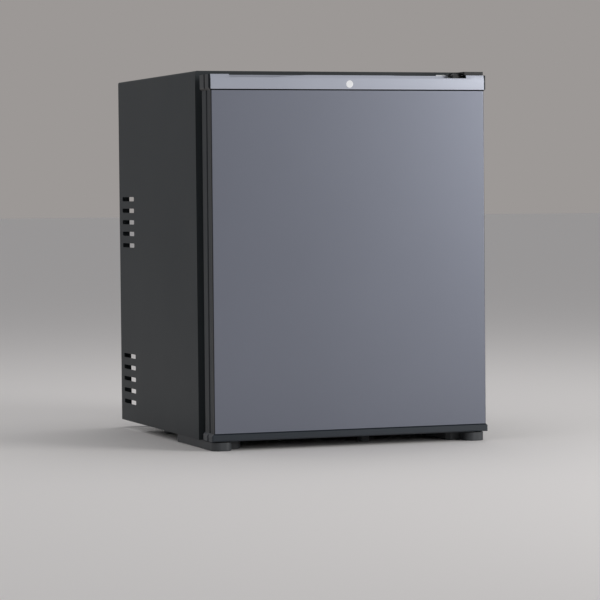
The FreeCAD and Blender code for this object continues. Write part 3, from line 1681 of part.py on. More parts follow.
nodes = [
    make_outer_casing(),
    make_base_pan(),
    make_rear_crossbar(),
    make_rear_panel(),
    make_insulation(),
    make_inner_liner(),
    make_shelf("shelf_lower", size.lower_shelf_height),
    make_shelf("shelf_upper", size.upper_shelf_height),
    make_shelf_trims(),
    make_fin_plate(),
    make_drip_tray(),
    make_drain_tube(),
    make_control_housing(),
    make_lamp_lens(),
    make_thermostat(),
    make_knob(),
    make_spindle(),
    make_shoe("front_foot_left", -1),
    make_shoe("front_foot_right", 1),
    make_foot_screws(),
    group("rear_feet", [make_rear_foot("rear_foot_left", -1), make_rear_foot("rear_foot_right", 1)]),
    make_middle_foot(),
    make_hinge_plate(),
    make_hinge_cover(),
    make_hinge_screws(),
    make_pins(),
    make_washer(),
    make_bushes(),
    make_door_panel(),
    make_edge_profile("door_profile_left", -1),
    make_edge_profile("door_profile_right", 1),
    make_top_cap(),
    make_bottom_cap(),
    make_badge(),
    make_door_foam(),
    make_door_liner(),
    make_seal(),
    make_rack("rack_lower", size.lower_rack_height),
    make_rack("rack_upper", size.upper_rack_height),
    make_rail(),
    make_vessel(),
    make_coil(),
    make_gas_pipe(),
    make_condenser_pipe(),
    make_rectifier_pipe(),
    make_condenser_fins(),
    make_heat_exchanger(),
    make_boiler_casing(),
    make_boiler_wool(),
    make_boiler_tube(),
    make_heater(),
    make_wall_plug(),
    make_brackets(),
    make_bracket_screws(),
    make_cup(),
    make_terminal_box(),
    make_gland(),
]
doc.recompute()

for item in doc.Objects:
    if "Invalid" in item.State or "Error" in item.State:
        raise RuntimeError("%s did not compute" % item.Name)
for node in nodes:
    if node.Shape.isNull() or not node.Shape.isValid():
        raise RuntimeError("%s has no valid shape" % node.Label)

os.makedirs("parts", exist_ok=True)
for node in nodes:
    node.Shape.exportStep("parts/%s.step" % node.Label)
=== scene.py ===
import bmesh
import bpy
import math
from mathutils import Matrix, Vector


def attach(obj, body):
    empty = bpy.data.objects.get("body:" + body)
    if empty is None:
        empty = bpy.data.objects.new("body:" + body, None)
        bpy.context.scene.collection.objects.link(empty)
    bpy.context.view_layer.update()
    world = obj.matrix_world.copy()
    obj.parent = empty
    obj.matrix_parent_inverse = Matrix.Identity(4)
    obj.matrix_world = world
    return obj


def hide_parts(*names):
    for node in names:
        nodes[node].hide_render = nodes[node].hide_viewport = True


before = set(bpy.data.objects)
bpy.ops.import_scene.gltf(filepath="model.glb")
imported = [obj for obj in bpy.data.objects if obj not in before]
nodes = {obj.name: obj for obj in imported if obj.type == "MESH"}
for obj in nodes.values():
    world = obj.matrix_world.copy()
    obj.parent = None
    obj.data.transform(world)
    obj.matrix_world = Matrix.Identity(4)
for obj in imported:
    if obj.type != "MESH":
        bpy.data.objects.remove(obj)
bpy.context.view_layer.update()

print("frame loaded,", len(nodes), "nodes")


def seen(red, green, blue):
    # a colour as the eye reads it, turned into the renderer's own scale
    def linear(part):
        part = part / 255
        return part / 12.92 if part <= 0.04045 else ((part + 0.055) / 1.055) ** 2.4
    return (linear(red), linear(green), linear(blue), 1)


# shader groups that several finishes share


def newGroup(name, inputs, outputs):
    group = bpy.data.node_groups.new(name, "ShaderNodeTree")
    for label, kind, start in inputs:
        socket = group.interface.new_socket(label, in_out="INPUT", socket_type=kind)
        if start is not None:
            socket.default_value = start
    for label, kind in outputs:
        group.interface.new_socket(label, in_out="OUTPUT", socket_type=kind)
    return group, group.nodes.new("NodeGroupInput"), group.nodes.new("NodeGroupOutput")


def objectNoise(group, scale, detail, rough):
    place = group.nodes.new("ShaderNodeTexCoord")
    noise = group.nodes.new("ShaderNodeTexNoise")
    noise.inputs["Detail"].default_value = detail
    noise.inputs["Roughness"].default_value = rough
    group.links.new(place.outputs["Object"], noise.inputs["Vector"])
    group.links.new(scale, noise.inputs["Scale"])
    return noise


def mathNode(group, operation, *values):
    node = group.nodes.new("ShaderNodeMath")
    node.operation = operation
    for socket, value in zip(node.inputs, values):
        if isinstance(value, (int, float)):
            socket.default_value = value
        elif value is not None:
            group.links.new(value, socket)
    return node.outputs[0]


def tinted(group, color, level):  # a colour made lighter or darker by a level around 1
    node = group.nodes.new("ShaderNodeVectorMath")
    node.operation = "SCALE"
    group.links.new(color, node.inputs[0])
    group.links.new(level, node.inputs["Scale"])
    return node.outputs["Vector"]


def makeToneGroup():  # broad, faint changes of tone and gloss
    group, given, out = newGroup(
        "toneDrift",
        [("Color", "NodeSocketColor", None), ("Amount", "NodeSocketFloat", 0.1), ("Scale", "NodeSocketFloat", 8),
         ("Roughness", "NodeSocketFloat", 0.4), ("Gloss Amount", "NodeSocketFloat", 0.05)],
        [("Color", "NodeSocketColor"), ("Roughness", "NodeSocketFloat")],
    )
    noise = objectNoise(group, given.outputs["Scale"], 3, 0.55)
    swing = mathNode(group, "SUBTRACT", noise.outputs["Fac"], 0.5)
    level = mathNode(group, "MULTIPLY_ADD", swing, given.outputs["Amount"], 1.0)
    gloss = mathNode(group, "MULTIPLY_ADD", swing, given.outputs["Gloss Amount"], given.outputs["Roughness"])
    group.links.new(tinted(group, given.outputs["Color"], level), out.inputs["Color"])
    group.links.new(gloss, out.inputs["Roughness"])
    return group


def makeGrainGroup():  # the fine tooth of powder coat or moulded plastic over a slower wave
    group, given, out = newGroup(
        "fineGrain",
        [("Scale", "NodeSocketFloat", 900), ("Wave Scale", "NodeSocketFloat", 60),
         ("Wave Share", "NodeSocketFloat", 0.3)],
        [("Height", "NodeSocketFloat")],
    )
    fine = objectNoise(group, given.outputs["Scale"], 2, 0.6)
    wave = objectNoise(group, given.outputs["Wave Scale"], 2, 0.5)
    mix = group.nodes.new("ShaderNodeMix")
    group.links.new(given.outputs["Wave Share"], mix.inputs["Factor"])
    group.links.new(fine.outputs["Fac"], mix.inputs["A"])
    group.links.new(wave.outputs["Fac"], mix.inputs["B"])
    group.links.new(mix.outputs["Result"], out.inputs["Height"])
    return group


def makeLineGroup():  # drawn lines along one direction, for rolled, brushed and turned metal
    group, given, out = newGroup(
        "drawnLines",
        [("Stretch", "NodeSocketVector", (1, 1, 1)), ("Scale", "NodeSocketFloat", 400)],
        [("Height", "NodeSocketFloat")],
    )
    place = group.nodes.new("ShaderNodeTexCoord")
    stretch = group.nodes.new("ShaderNodeVectorMath")
    stretch.operation = "MULTIPLY"
    noise = group.nodes.new("ShaderNodeTexNoise")
    noise.inputs["Detail"].default_value = 3
    group.links.new(place.outputs["Object"], stretch.inputs[0])
    group.links.new(given.outputs["Stretch"], stretch.inputs[1])
    group.links.new(stretch.outputs["Vector"], noise.inputs["Vector"])
    group.links.new(given.outputs["Scale"], noise.inputs["Scale"])
    group.links.new(noise.outputs["Fac"], out.inputs["Height"])
    return group


def makeDustGroup():  # a little settled dust on what looks up
    group, given, out = newGroup(
        "settledDust",
        [("Color", "NodeSocketColor", None), ("Dust", "NodeSocketColor", seen(150, 146, 140)),
         ("Amount", "NodeSocketFloat", 0.1), ("Scale", "NodeSocketFloat", 35)],
        [("Color", "NodeSocketColor")],
    )
    facing = group.nodes.new("ShaderNodeNewGeometry")
    split = group.nodes.new("ShaderNodeSeparateXYZ")
    upward = group.nodes.new("ShaderNodeMapRange")
    upward.inputs["From Min"].default_value = 0.6  # what is steeper than this stays clean
    patch = objectNoise(group, given.outputs["Scale"], 4, 0.6)
    group.links.new(facing.outputs["Normal"], split.inputs[0])
    group.links.new(split.outputs["Z"], upward.inputs["Value"])
    both = mathNode(group, "MULTIPLY", upward.outputs["Result"], patch.outputs["Fac"])
    level = mathNode(group, "MULTIPLY", both, given.outputs["Amount"])
    mix = group.nodes.new("ShaderNodeMix")
    mix.data_type = "RGBA"
    group.links.new(level, mix.inputs["Factor"])
    group.links.new(given.outputs["Color"], mix.inputs["A"])
    group.links.new(given.outputs["Dust"], mix.inputs["B"])
    group.links.new(mix.outputs["Result"], out.inputs["Color"])
    return group


def makeCellGroup():  # crystal facets of zinc or bubbles of foam
    group, given, out = newGroup(
        "cells",
        [("Scale", "NodeSocketFloat", 80), ("Color", "NodeSocketColor", None), ("Amount", "NodeSocketFloat", 0.2)],
        [("Color", "NodeSocketColor"), ("Height", "NodeSocketFloat")],
    )
    place = group.nodes.new("ShaderNodeTexCoord")
    cells = group.nodes.new("ShaderNodeTexVoronoi")
    split = group.nodes.new("ShaderNodeSeparateColor")
    group.links.new(place.outputs["Object"], cells.inputs["Vector"])
    group.links.new(given.outputs["Scale"], cells.inputs["Scale"])
    group.links.new(cells.outputs["Color"], split.inputs[0])
    swing = mathNode(group, "SUBTRACT", split.outputs[0], 0.5)
    level = mathNode(group, "MULTIPLY_ADD", swing, given.outputs["Amount"], 1.0)
    group.links.new(tinted(group, given.outputs["Color"], level), out.inputs["Color"])
    group.links.new(cells.outputs["Distance"], out.inputs["Height"])
    return group


toneDrift = makeToneGroup()
fineGrain = makeGrainGroup()
drawnLines = makeLineGroup()
settledDust = makeDustGroup()
cells = makeCellGroup()

# one finish for each real material; grain, wave, line and cell scales are repeats per metre, relief is in metres
finishes = {
    "cabinetPaint": {
        "color": seen(44, 49, 52), "roughness": 0.5, "tone": 0.10, "toneScale": 5, "gloss": 0.10,
        "grain": 1000, "wave": 90, "waveShare": 0.25, "relief": 0.0001, "dust": 0.25,
        "sockets": {"Specular IOR Level": 0.3},
    },
    # door and cap: the plain colour is the paint in painted shade, worn by the folded sides; the front colour is the
    # paint itself; the third, darkest colour is painted shade on faces that look down
    "doorPaint": {
        "color": seen(20, 22, 25), "frontColor": seen(110, 114, 126), "underShadeColor": seen(16, 17, 19),
        "frontHalf": 0.1966, "roughness": 0.36, "tone": 0.05, "toneScale": 4, "gloss": 0.06,
        "grain": 2200, "wave": 120, "waveShare": 0.35, "relief": 0.00002, "dust": 0,
        "frontCoat": 0.25, "sockets": {"Metallic": 0.45, "Coat Roughness": 0.22},
    },
    # the cap's plain and darkest colours are painted shade as well
    "capPaint": {
        "color": seen(18, 24, 29), "frontColor": seen(170, 174, 186), "underShadeColor": seen(10, 11, 13),
        "frontHalf": 0.1972, "roughness": 0.3, "tone": 0.05, "toneScale": 7, "gloss": 0.06,
        "grain": 1800, "wave": 110, "waveShare": 0.4, "relief": 0.00002, "dust": 0.08,
        "frontCoat": 0.4, "sockets": {"Metallic": 0.25, "Coat Roughness": 0.12, "Specular IOR Level": 0.3},
    },
    "darkPlastic": {
        "color": seen(34, 42, 50), "roughness": 0.34, "tone": 0.08, "toneScale": 9, "gloss": 0.08,
        "grain": 1500, "wave": 150, "waveShare": 0.3, "relief": 0.00003, "dust": 0.12,
    },
    "profilePlastic": {
        "color": seen(38, 43, 47), "roughness": 0.46, "tone": 0.08, "toneScale": 12, "gloss": 0.08,
        "grain": 1700, "wave": 140, "waveShare": 0.25, "relief": 0.00004, "dust": 0.05,
        "sockets": {"Specular IOR Level": 0.35},
    },
    "blackGloss": {
        "color": seen(16, 17, 19), "roughness": 0.3, "tone": 0.10, "toneScale": 15, "gloss": 0.10,
        "grain": 1500, "wave": 180, "waveShare": 0.5, "relief": 0.00002, "dust": 0.03,
        "sockets": {"Specular IOR Level": 0.3},
    },
    "footPlastic": {
        "color": seen(56, 59, 62), "roughness": 0.5, "tone": 0.14, "toneScale": 25, "gloss": 0.12,
        "grain": 1400, "wave": 200, "waveShare": 0.3, "relief": 0.00008, "dust": 0.3,
    },
    "linerPlastic": {
        "color": seen(226, 229, 229), "roughness": 0.32, "tone": 0.03, "toneScale": 6, "gloss": 0.08,
        "grain": 1200, "wave": 45, "waveShare": 0.75, "relief": 0.00007, "dust": 0,
    },
    "trimPlastic": {
        "color": seen(232, 234, 234), "roughness": 0.22, "tone": 0.03, "toneScale": 14, "gloss": 0.06,
        "grain": 1200, "wave": 90, "waveShare": 0.7, "relief": 0.00004, "dust": 0,
    },
    "rackPlastic": {
        "color": seen(226, 232, 234), "roughness": 0.16, "tone": 0.03, "toneScale": 10, "gloss": 0.06,
        "grain": 1000, "wave": 60, "waveShare": 0.8, "relief": 0.00005, "dust": 0,
        "sockets": {"Transmission Weight": 0.4, "IOR": 1.49},
    },
    "trayPlastic": {
        "color": seen(205, 208, 208), "roughness": 0.42, "tone": 0.05, "toneScale": 15, "gloss": 0.10,
        "grain": 1300, "wave": 90, "waveShare": 0.5, "relief": 0.00006, "dust": 0.1,
    },
    "shelfGlass": {
        "color": seen(222, 240, 233), "roughness": 0.03, "tone": 0.03, "toneScale": 8, "gloss": 0.03,
        "grain": 500, "wave": 25, "waveShare": 0.9, "relief": 0.00001, "dust": 0,
        "sockets": {"Transmission Weight": 1.0, "IOR": 1.5},
    },
    "frostedLens": {
        "color": seen(236, 238, 236), "roughness": 0.4, "tone": 0.02, "toneScale": 12, "gloss": 0.05,
        "lines": (1, 0.02, 0.02), "lineScale": 260, "lineShare": 0.85, "grain": 900, "wave": 120, "waveShare": 0.5,
        "relief": 0.0003, "dust": 0, "sockets": {"Transmission Weight": 0.6, "IOR": 1.49},
    },
    "rubber": {
        "color": seen(13, 14, 16), "roughness": 0.7, "tone": 0.12, "toneScale": 20, "gloss": 0.10,
        "grain": 1500, "wave": 220, "waveShare": 0.4, "relief": 0.00006, "dust": 0.1,
        "sockets": {"Specular IOR Level": 0.35},
    },
    "foamCore": {
        "color": seen(226, 208, 150), "roughness": 0.85, "tone": 0.12, "toneScale": 18, "gloss": 0.05,
        "cellScale": 700, "cellShare": 0.14, "cellRelief": True, "grain": 900, "wave": 200, "waveShare": 0.4,
        "relief": 0.0003, "dust": 0,
    },
    "doorCore": {
        "color": seen(46, 47, 49), "roughness": 0.85, "tone": 0.12, "toneScale": 18, "gloss": 0.05,
        "cellScale": 700, "cellShare": 0.14, "cellRelief": True, "grain": 900, "wave": 200, "waveShare": 0.4,
        "relief": 0.0003, "dust": 0,
    },
    "glassWool": {
        "color": seen(216, 200, 130), "roughness": 0.95, "tone": 0.25, "toneScale": 60, "gloss": 0,
        "lines": (1, 1, 0.1), "lineScale": 900, "lineShare": 0.7, "grain": 700, "wave": 160, "waveShare": 0.5,
        "relief": 0.0006, "dust": 0,
    },
    "zinc": {
        "color": seen(186, 188, 190), "roughness": 0.32, "tone": 0.10, "toneScale": 30, "gloss": 0.16,
        "lines": (1, 1, 0.04), "lineScale": 900, "lineShare": 0.5, "grain": 1600, "wave": 240, "waveShare": 0.4,
        "relief": 0.00003, "dust": 0, "sockets": {"Metallic": 1.0},
    },
    "galvanised": {
        "color": seen(168, 172, 175), "roughness": 0.42, "tone": 0.08, "toneScale": 6, "gloss": 0.14,
        "cellScale": 110, "cellShare": 0.24, "grain": 1500, "wave": 70, "waveShare": 0.5, "relief": 0.00004,
        "dust": 0.1, "sockets": {"Metallic": 0.9},
    },
    "aluminium": {
        "color": seen(206, 208, 210), "roughness": 0.34, "tone": 0.06, "toneScale": 16, "gloss": 0.12,
        "lines": (1, 1, 0.03), "lineScale": 1100, "lineShare": 0.7, "grain": 1500, "wave": 100, "waveShare": 0.4,
        "relief": 0.00003, "dust": 0.05, "sockets": {"Metallic": 1.0},
    },
    "unitPaint": {
        "color": seen(34, 35, 37), "roughness": 0.45, "tone": 0.18, "toneScale": 22, "gloss": 0.16,
        "grain": 1100, "wave": 170, "waveShare": 0.55, "relief": 0.00012, "dust": 0.55,
    },
    "terminalPlastic": {
        "color": seen(66, 67, 69), "roughness": 0.52, "tone": 0.08, "toneScale": 25, "gloss": 0.10,
        "grain": 1500, "wave": 180, "waveShare": 0.3, "relief": 0.00008, "dust": 0.3,
    },
    "bushPlastic": {
        "color": seen(224, 220, 208), "roughness": 0.4, "tone": 0.06, "toneScale": 40, "gloss": 0.08,
        "grain": 1500, "wave": 220, "waveShare": 0.5, "relief": 0.00004, "dust": 0,
    },
    "badgeEnamel": {
        "color": seen(240, 241, 243), "roughness": 0.3, "tone": 0.05, "toneScale": 60, "gloss": 0.10,
        "lines": (1, 1, 0.03), "lineScale": 2500, "lineShare": 0.7, "grain": 2500, "wave": 300, "waveShare": 0.4,
        "relief": 0.00001, "dust": 0, "sockets": {"Coat Weight": 0.3, "Coat Roughness": 0.1},
    },
    "dialInk": {
        "color": seen(40, 66, 110), "roughness": 0.5, "tone": 0.05, "toneScale": 60, "gloss": 0.05,
        "grain": 2500, "wave": 300, "waveShare": 0.4, "relief": 0.00001, "dust": 0,
    },
}


def placeGroup(tree, group, values):
    node = tree.nodes.new("ShaderNodeGroup")
    node.node_tree = group
    for label, value in values.items():
        node.inputs[label].default_value = value
    return node


# how squarely a face must look forward to take the front's colour, or down into the joint to take the painted shade
# there; other faces take the sides' painted shade
faceLimits = {"frontFrom": 0.8, "frontFull": 0.96, "underShadeFrom": 0.25, "underShadeFull": 0.55}


def shadeSidesAndUnderside(tree, look, shader, tone):
    # the front keeps another colour and coat than the folded sides, by the way each face looks: the sides, and the
    # front's rim beyond frontHalf, take painted shade, a darker colour of the same paint
    link = tree.links.new
    place = tree.nodes.new("ShaderNodeTexCoord")
    split = tree.nodes.new("ShaderNodeSeparateXYZ")
    across = tree.nodes.new("ShaderNodeSeparateXYZ")
    front = tree.nodes.new("ShaderNodeMapRange")
    front.inputs["From Min"].default_value = -faceLimits["frontFrom"]
    front.inputs["From Max"].default_value = -faceLimits["frontFull"]
    under = tree.nodes.new("ShaderNodeMapRange")  # painted shade: what faces down into the joint takes a darker colour
    under.inputs["From Min"].default_value = -faceLimits["underShadeFrom"]
    under.inputs["From Max"].default_value = -faceLimits["underShadeFull"]
    mix = tree.nodes.new("ShaderNodeMix")
    mix.data_type = "RGBA"
    mix.inputs["A"].default_value = look["color"]
    mix.inputs["B"].default_value = look["frontColor"]
    shade = tree.nodes.new("ShaderNodeMix")
    shade.data_type = "RGBA"
    shade.inputs["B"].default_value = look["underShadeColor"]
    link(place.outputs["Normal"], split.inputs[0])
    link(place.outputs["Object"], across.inputs[0])
    link(split.outputs["Y"], front.inputs["Value"])
    link(split.outputs["Z"], under.inputs["Value"])
    within = mathNode(tree, "LESS_THAN", mathNode(tree, "ABSOLUTE", across.outputs["X"]), look["frontHalf"])
    unshadedFront = mathNode(tree, "MULTIPLY", front.outputs["Result"], within)
    link(unshadedFront, mix.inputs["Factor"])
    link(mathNode(tree, "MULTIPLY", unshadedFront, look["frontCoat"]), shader.inputs["Coat Weight"])
    link(mix.outputs["Result"], shade.inputs["A"])
    link(under.outputs["Result"], shade.inputs["Factor"])
    link(shade.outputs["Result"], tone.inputs["Color"])


def buildFinish(name, look):
    finish = bpy.data.materials.new(name)
    finish.use_nodes = True
    tree = finish.node_tree
    link = tree.links.new
    shader = tree.nodes["Principled BSDF"]
    for label, value in look.get("sockets", {}).items():
        shader.inputs[label].default_value = value
    tone = placeGroup(tree, toneDrift, {
        "Color": look["color"], "Amount": look["tone"], "Scale": look["toneScale"],
        "Roughness": look["roughness"], "Gloss Amount": look["gloss"],
    })
    grain = placeGroup(tree, fineGrain, {
        "Scale": look["grain"], "Wave Scale": look["wave"], "Wave Share": look["waveShare"],
    })
    height = grain.outputs["Height"]
    # painted shade on the folded sides and on faces that look down
    if "frontColor" in look:
        shadeSidesAndUnderside(tree, look, shader, tone)
    if "cellScale" in look:
        facets = placeGroup(tree, cells, {
            "Scale": look["cellScale"], "Color": look["color"], "Amount": look["cellShare"],
        })
        link(facets.outputs["Color"], tone.inputs["Color"])
        if "cellRelief" in look:
            height = facets.outputs["Height"]
    if "lines" in look:
        drawn = placeGroup(tree, drawnLines, {"Stretch": look["lines"], "Scale": look["lineScale"]})
        blended = tree.nodes.new("ShaderNodeMix")
        blended.inputs["Factor"].default_value = look["lineShare"]
        link(height, blended.inputs["A"])
        link(drawn.outputs["Height"], blended.inputs["B"])
        height = blended.outputs["Result"]
    color = tone.outputs["Color"]
    if look["dust"]:
        dust = placeGroup(tree, settledDust, {"Amount": look["dust"]})
        link(color, dust.inputs["Color"])
        color = dust.outputs["Color"]
    bump = tree.nodes.new("ShaderNodeBump")
    bump.inputs["Distance"].default_value = look["relief"]
    link(height, bump.inputs["Height"])
    link(bump.outputs["Normal"], shader.inputs["Normal"])
    link(color, shader.inputs["Base Color"])
    link(tone.outputs["Roughness"], shader.inputs["Roughness"])
    return finish


materials = {name: buildFinish(name, look) for name, look in finishes.items()}
print("finishes made,", len(materials))

# the CAD nodes that stay, with the finish and the edge rounding of each, in millimetres
keptNodes = {
    "outer_casing": ("cabinetPaint", 0.25), "base_pan": ("cabinetPaint", 0.2), "rear_crossbar": ("galvanised", 0.2),
    "rear_panel": ("galvanised", 0.15), "insulation": ("foamCore", 0.4), "inner_liner": ("linerPlastic", 0.6),
    "shelf_lower": ("shelfGlass", 0.8), "shelf_upper": ("shelfGlass", 0.8), "shelf_trims": ("trimPlastic", 0.5),
    "cooling_fins": ("aluminium", 0.3), "drip_tray": ("trayPlastic", 0.4), "control_housing": ("trimPlastic", 0.5),
    "lamp_lens": ("frostedLens", 0.3), "thermostat": ("terminalPlastic", 0.6), "thermostat_spindle": ("zinc", 0.3),
    "front_foot_left": ("footPlastic", 0.4), "front_foot_right": ("footPlastic", 0.4),
    "rear_feet": ("footPlastic", 0.3), "middle_foot": ("footPlastic", 0.6), "upper_hinge_plate": ("zinc", 0.25),
    "upper_hinge_cover": ("blackGloss", 0.35), "hinge_pins": ("zinc", 0.2), "hinge_washer": ("bushPlastic", 0.2),
    "hinge_bushes": ("bushPlastic", 0.2),
    "door_panel": ("doorPaint", 0.25), "door_profile_left": ("profilePlastic", 0.3),
    "door_profile_right": ("profilePlastic", 0.3), "door_top_cap": ("capPaint", 0.7),
    "door_bottom_cap": ("darkPlastic", 0.45), "blank_badge": ("badgeEnamel", 0.2), "door_foam": ("doorCore", 0.4),
    "door_liner": ("linerPlastic", 0.6), "rack_lower": ("rackPlastic", 0.5), "rack_upper": ("rackPlastic", 0.5),
    "bottle_rail": ("zinc", 0.3), "boiler_wool": ("glassWool", 0.4), "boiler_tube": ("unitPaint", 0.3),
    "heater_cartridge": ("zinc", 0.4), "wall_plug": ("blackGloss", 0.5), "vessel_brackets": ("unitPaint", 0.3),
    "evaporation_cup": ("trayPlastic", 0.4),
}

nearby = 0.00001  # points nearer than this many metres count as one


def roundEdges(piece, width, angle=30):  # width in millimetres
    weld = piece.modifiers.new("weld", "WELD")
    weld.merge_threshold = nearby
    bevel = piece.modifiers.new("edges", "BEVEL")
    bevel.width = width / 1000
    bevel.segments = 2
    bevel.limit_method = "ANGLE"
    bevel.angle_limit = math.radians(angle)
    normals = piece.modifiers.new("normals", "WEIGHTED_NORMAL")
    normals.keep_sharp = False


for name, (finish, width) in keptNodes.items():
    node = nodes[name]
    node.data.shade_smooth()
    node.material_slots[0].material = materials[finish]
    roundEdges(node, width)
print("CAD nodes dressed,", len(keptNodes))

# ways of making new pieces


def mm(*places):  # millimetres to the scene's metres
    return Vector([place / 1000 for place in places])


def finishPiece(name, mesh, finish, body="cabinet", edge=0, sharp=35):
    bmesh.ops.remove_doubles(mesh, verts=mesh.verts, dist=nearby / 2)
    bmesh.ops.recalc_face_normals(mesh, faces=mesh.faces)
    data = bpy.data.meshes.new(name)
    mesh.to_mesh(data)
    mesh.free()
    data.shade_smooth()
    data.set_sharp_from_angle(angle=math.radians(sharp))
    data.materials.append(materials[finish])
    piece = bpy.data.objects.new(name, data)
    bpy.context.scene.collection.objects.link(piece)
    if edge:
        roundEdges(piece, edge)
    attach(piece, body)
    return piece


def vertsOf(parts):
    return [part for part in parts if isinstance(part, bmesh.types.BMVert)]


def edgesAt(verts):
    return {edge for vert in verts for edge in vert.link_edges}


def rimOf(verts):  # the edges between the given points
    chosen = set(verts)
    return [edge for edge in edgesAt(verts) if set(edge.verts) <= chosen]


def pulled(mesh, rim):  # new points drawn from a ring of edges, still in its place
    return vertsOf(bmesh.ops.extrude_edge_only(mesh, edges=rim)["geom"])


def sweepRim(mesh, rim, corners, bend, steps=10):
    # carries a ring of edges along a route with rounded corners
    stops = [Vector(corner) for corner in corners]
    here = stops[0]
    for before, corner, after in zip(stops, stops[1:], stops[2:] + [None]):
        heading = (corner - before).normalized()
        turn = 0
        reach = 0
        if after is not None:
            following = (after - corner).normalized()
            turn = heading.angle(following)
            reach = bend * math.tan(turn / 2)
        end = corner - heading * reach
        if (end - here).length > nearby:
            verts = pulled(mesh, rim)
            bmesh.ops.translate(mesh, verts=verts, vec=end - here)
            rim = rimOf(verts)
        if after is not None:
            inward = (following - heading * math.cos(turn)).normalized()
            ring = list({vert for edge in rim for vert in edge.verts})
            spun = bmesh.ops.spin(
                mesh, geom=ring + rim, cent=end + inward * bend, axis=heading.cross(following).normalized(),
                angle=turn, steps=steps, use_merge=False, use_duplicate=False,
            )
            rim = rimOf(vertsOf(spun["geom_last"]))
            here = corner + following * reach
    return rim


def addTube(mesh, radius, corners, bend, sides=28):  # a closed round bar along a route with rounded corners
    stops = [Vector(corner) for corner in corners]
    facing = (stops[1] - stops[0]).to_track_quat("Z", "Y").to_matrix().to_4x4()
    ring = bmesh.ops.create_circle(
        mesh, cap_ends=False, segments=sides, radius=radius, matrix=Matrix.Translation(stops[0]) @ facing,
    )["verts"]
    first = rimOf(ring)
    last = sweepRim(mesh, first, stops, bend)
    bmesh.ops.edgeloop_fill(mesh, edges=rimOf(ring))
    bmesh.ops.edgeloop_fill(mesh, edges=last)


def addRing(mesh, centre, axis, ringRadius, wireRadius, steps=40, sides=12):
    # a weld bead or a grommet: a small circle turned about an axis
    axis = Vector(axis).normalized()
    across = axis.orthogonal().normalized()
    turned = Matrix((across, axis, across.cross(axis))).transposed().to_4x4()
    verts = bmesh.ops.create_circle(
        mesh, cap_ends=False, segments=sides, radius=wireRadius,
        matrix=Matrix.Translation(Vector(centre) + across * ringRadius) @ turned,
    )["verts"]
    bmesh.ops.spin(
        mesh, geom=verts + rimOf(verts), cent=centre, axis=axis, angle=math.tau, steps=steps,
        use_merge=True, use_duplicate=False,
    )


def addTurned(mesh, centre, axis, outline, steps=48):
    # an outline of (along, radius) points in millimetres, turned about an axis through a centre
    axis = Vector(axis).normalized()
    across = axis.orthogonal().normalized()
    verts = [mesh.verts.new(Vector(centre) + axis * along / 1000 + across * radius / 1000) for along, radius in outline]
    edges = [mesh.edges.new(pair) for pair in zip(verts, verts[1:])]
    bmesh.ops.spin(
        mesh, geom=verts + edges, cent=centre, axis=axis, angle=math.tau, steps=steps,
        use_merge=True, use_duplicate=False,
    )


def bevelEdges(mesh, edges, rounding, segments):  # rounding in millimetres
    bmesh.ops.bevel(
        mesh, geom=edges, offset=rounding / 1000, offset_type="OFFSET", affect="EDGES", segments=segments,
        profile=0.5, material=-1,
    )


def addBox(mesh, low, high):  # between two opposite corners, in millimetres
    low, high = mm(*low), mm(*high)
    stretch = Matrix.Diagonal((*(high - low), 1))
    return bmesh.ops.create_cube(mesh, size=1, matrix=Matrix.Translation((low + high) / 2) @ stretch)["verts"]


def addBlock(mesh, low, high, rounding=0, segments=3):  # a box, all its edges rounded where a rounding is given
    verts = addBox(mesh, low, high)
    if rounding:
        bevelEdges(mesh, list(edgesAt(verts)), rounding, segments)


unitY = 163  # the plane of the cooling unit's pipes

# the cooling unit's pipes, with the bends that the bender leaves
pipes = {
    "absorberTube": {
        "replaces": "absorber_coil", "radius": 8, "bend": 14, "slot": "unit_paint", "finish": "unitPaint",
        "corners": [(-130, unitY, 105), (-130, unitY, 126), (26, unitY, 126), (26, unitY, 154), (-130, unitY, 154),
                    (-130, unitY, 182), (26, unitY, 182), (26, unitY, 210), (-130, unitY, 210), (-130, unitY, 238),
                    (26, unitY, 238), (26, unitY, 266), (-78, unitY, 266), (-78, unitY, 294)],
    },
    "gasTube": {
        "replaces": "gas_pipe", "radius": 8, "bend": 20, "slot": "unit_paint", "finish": "unitPaint",
        "corners": [(-78, unitY, 294), (-78, unitY, 420), (-78, 95, 420)],
    },
    "condenserTube": {
        "replaces": "condenser_pipe", "radius": 8, "bend": 20, "slot": "unit_paint", "finish": "unitPaint",
        "corners": [(90, unitY, 452), (-46, unitY, 452), (-46, 95, 452)],
    },
    "rectifierTube": {
        "replaces": "rectifier_pipe", "radius": 8, "bend": 20, "slot": "unit_paint", "finish": "unitPaint",
        "corners": [(116, unitY, 286), (116, unitY, 452), (90, unitY, 452)],
    },
    "exchangerTube": {
        "replaces": "heat_exchanger", "radius": 10, "bend": 20, "slot": "unit_paint", "finish": "unitPaint",
        "corners": [(68, unitY, 74), (116, unitY, 74), (116, unitY, 96)],
    },
    "drainHose": {
        "replaces": "drain_tube", "radius": 4, "bend": 14, "slot": "tray_plastic", "finish": "trayPlastic",
        "corners": [(44, 93.5, 387.6), (44, 152, 387.6), (44, 152, 121)],
    },
}
for name, pipe in pipes.items():
    mesh = bmesh.new()
    addTube(mesh, pipe["radius"] / 1000, [mm(*corner) for corner in pipe["corners"]], pipe["bend"] / 1000)
    tube = finishPiece(name, mesh, pipe["finish"])
    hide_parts(pipe["replaces"])
print("pipes bent,", len(pipes))

vessel = {"left": -152, "right": 68, "radius": 27, "height": 78, "dish": 11, "seam": 1.1}


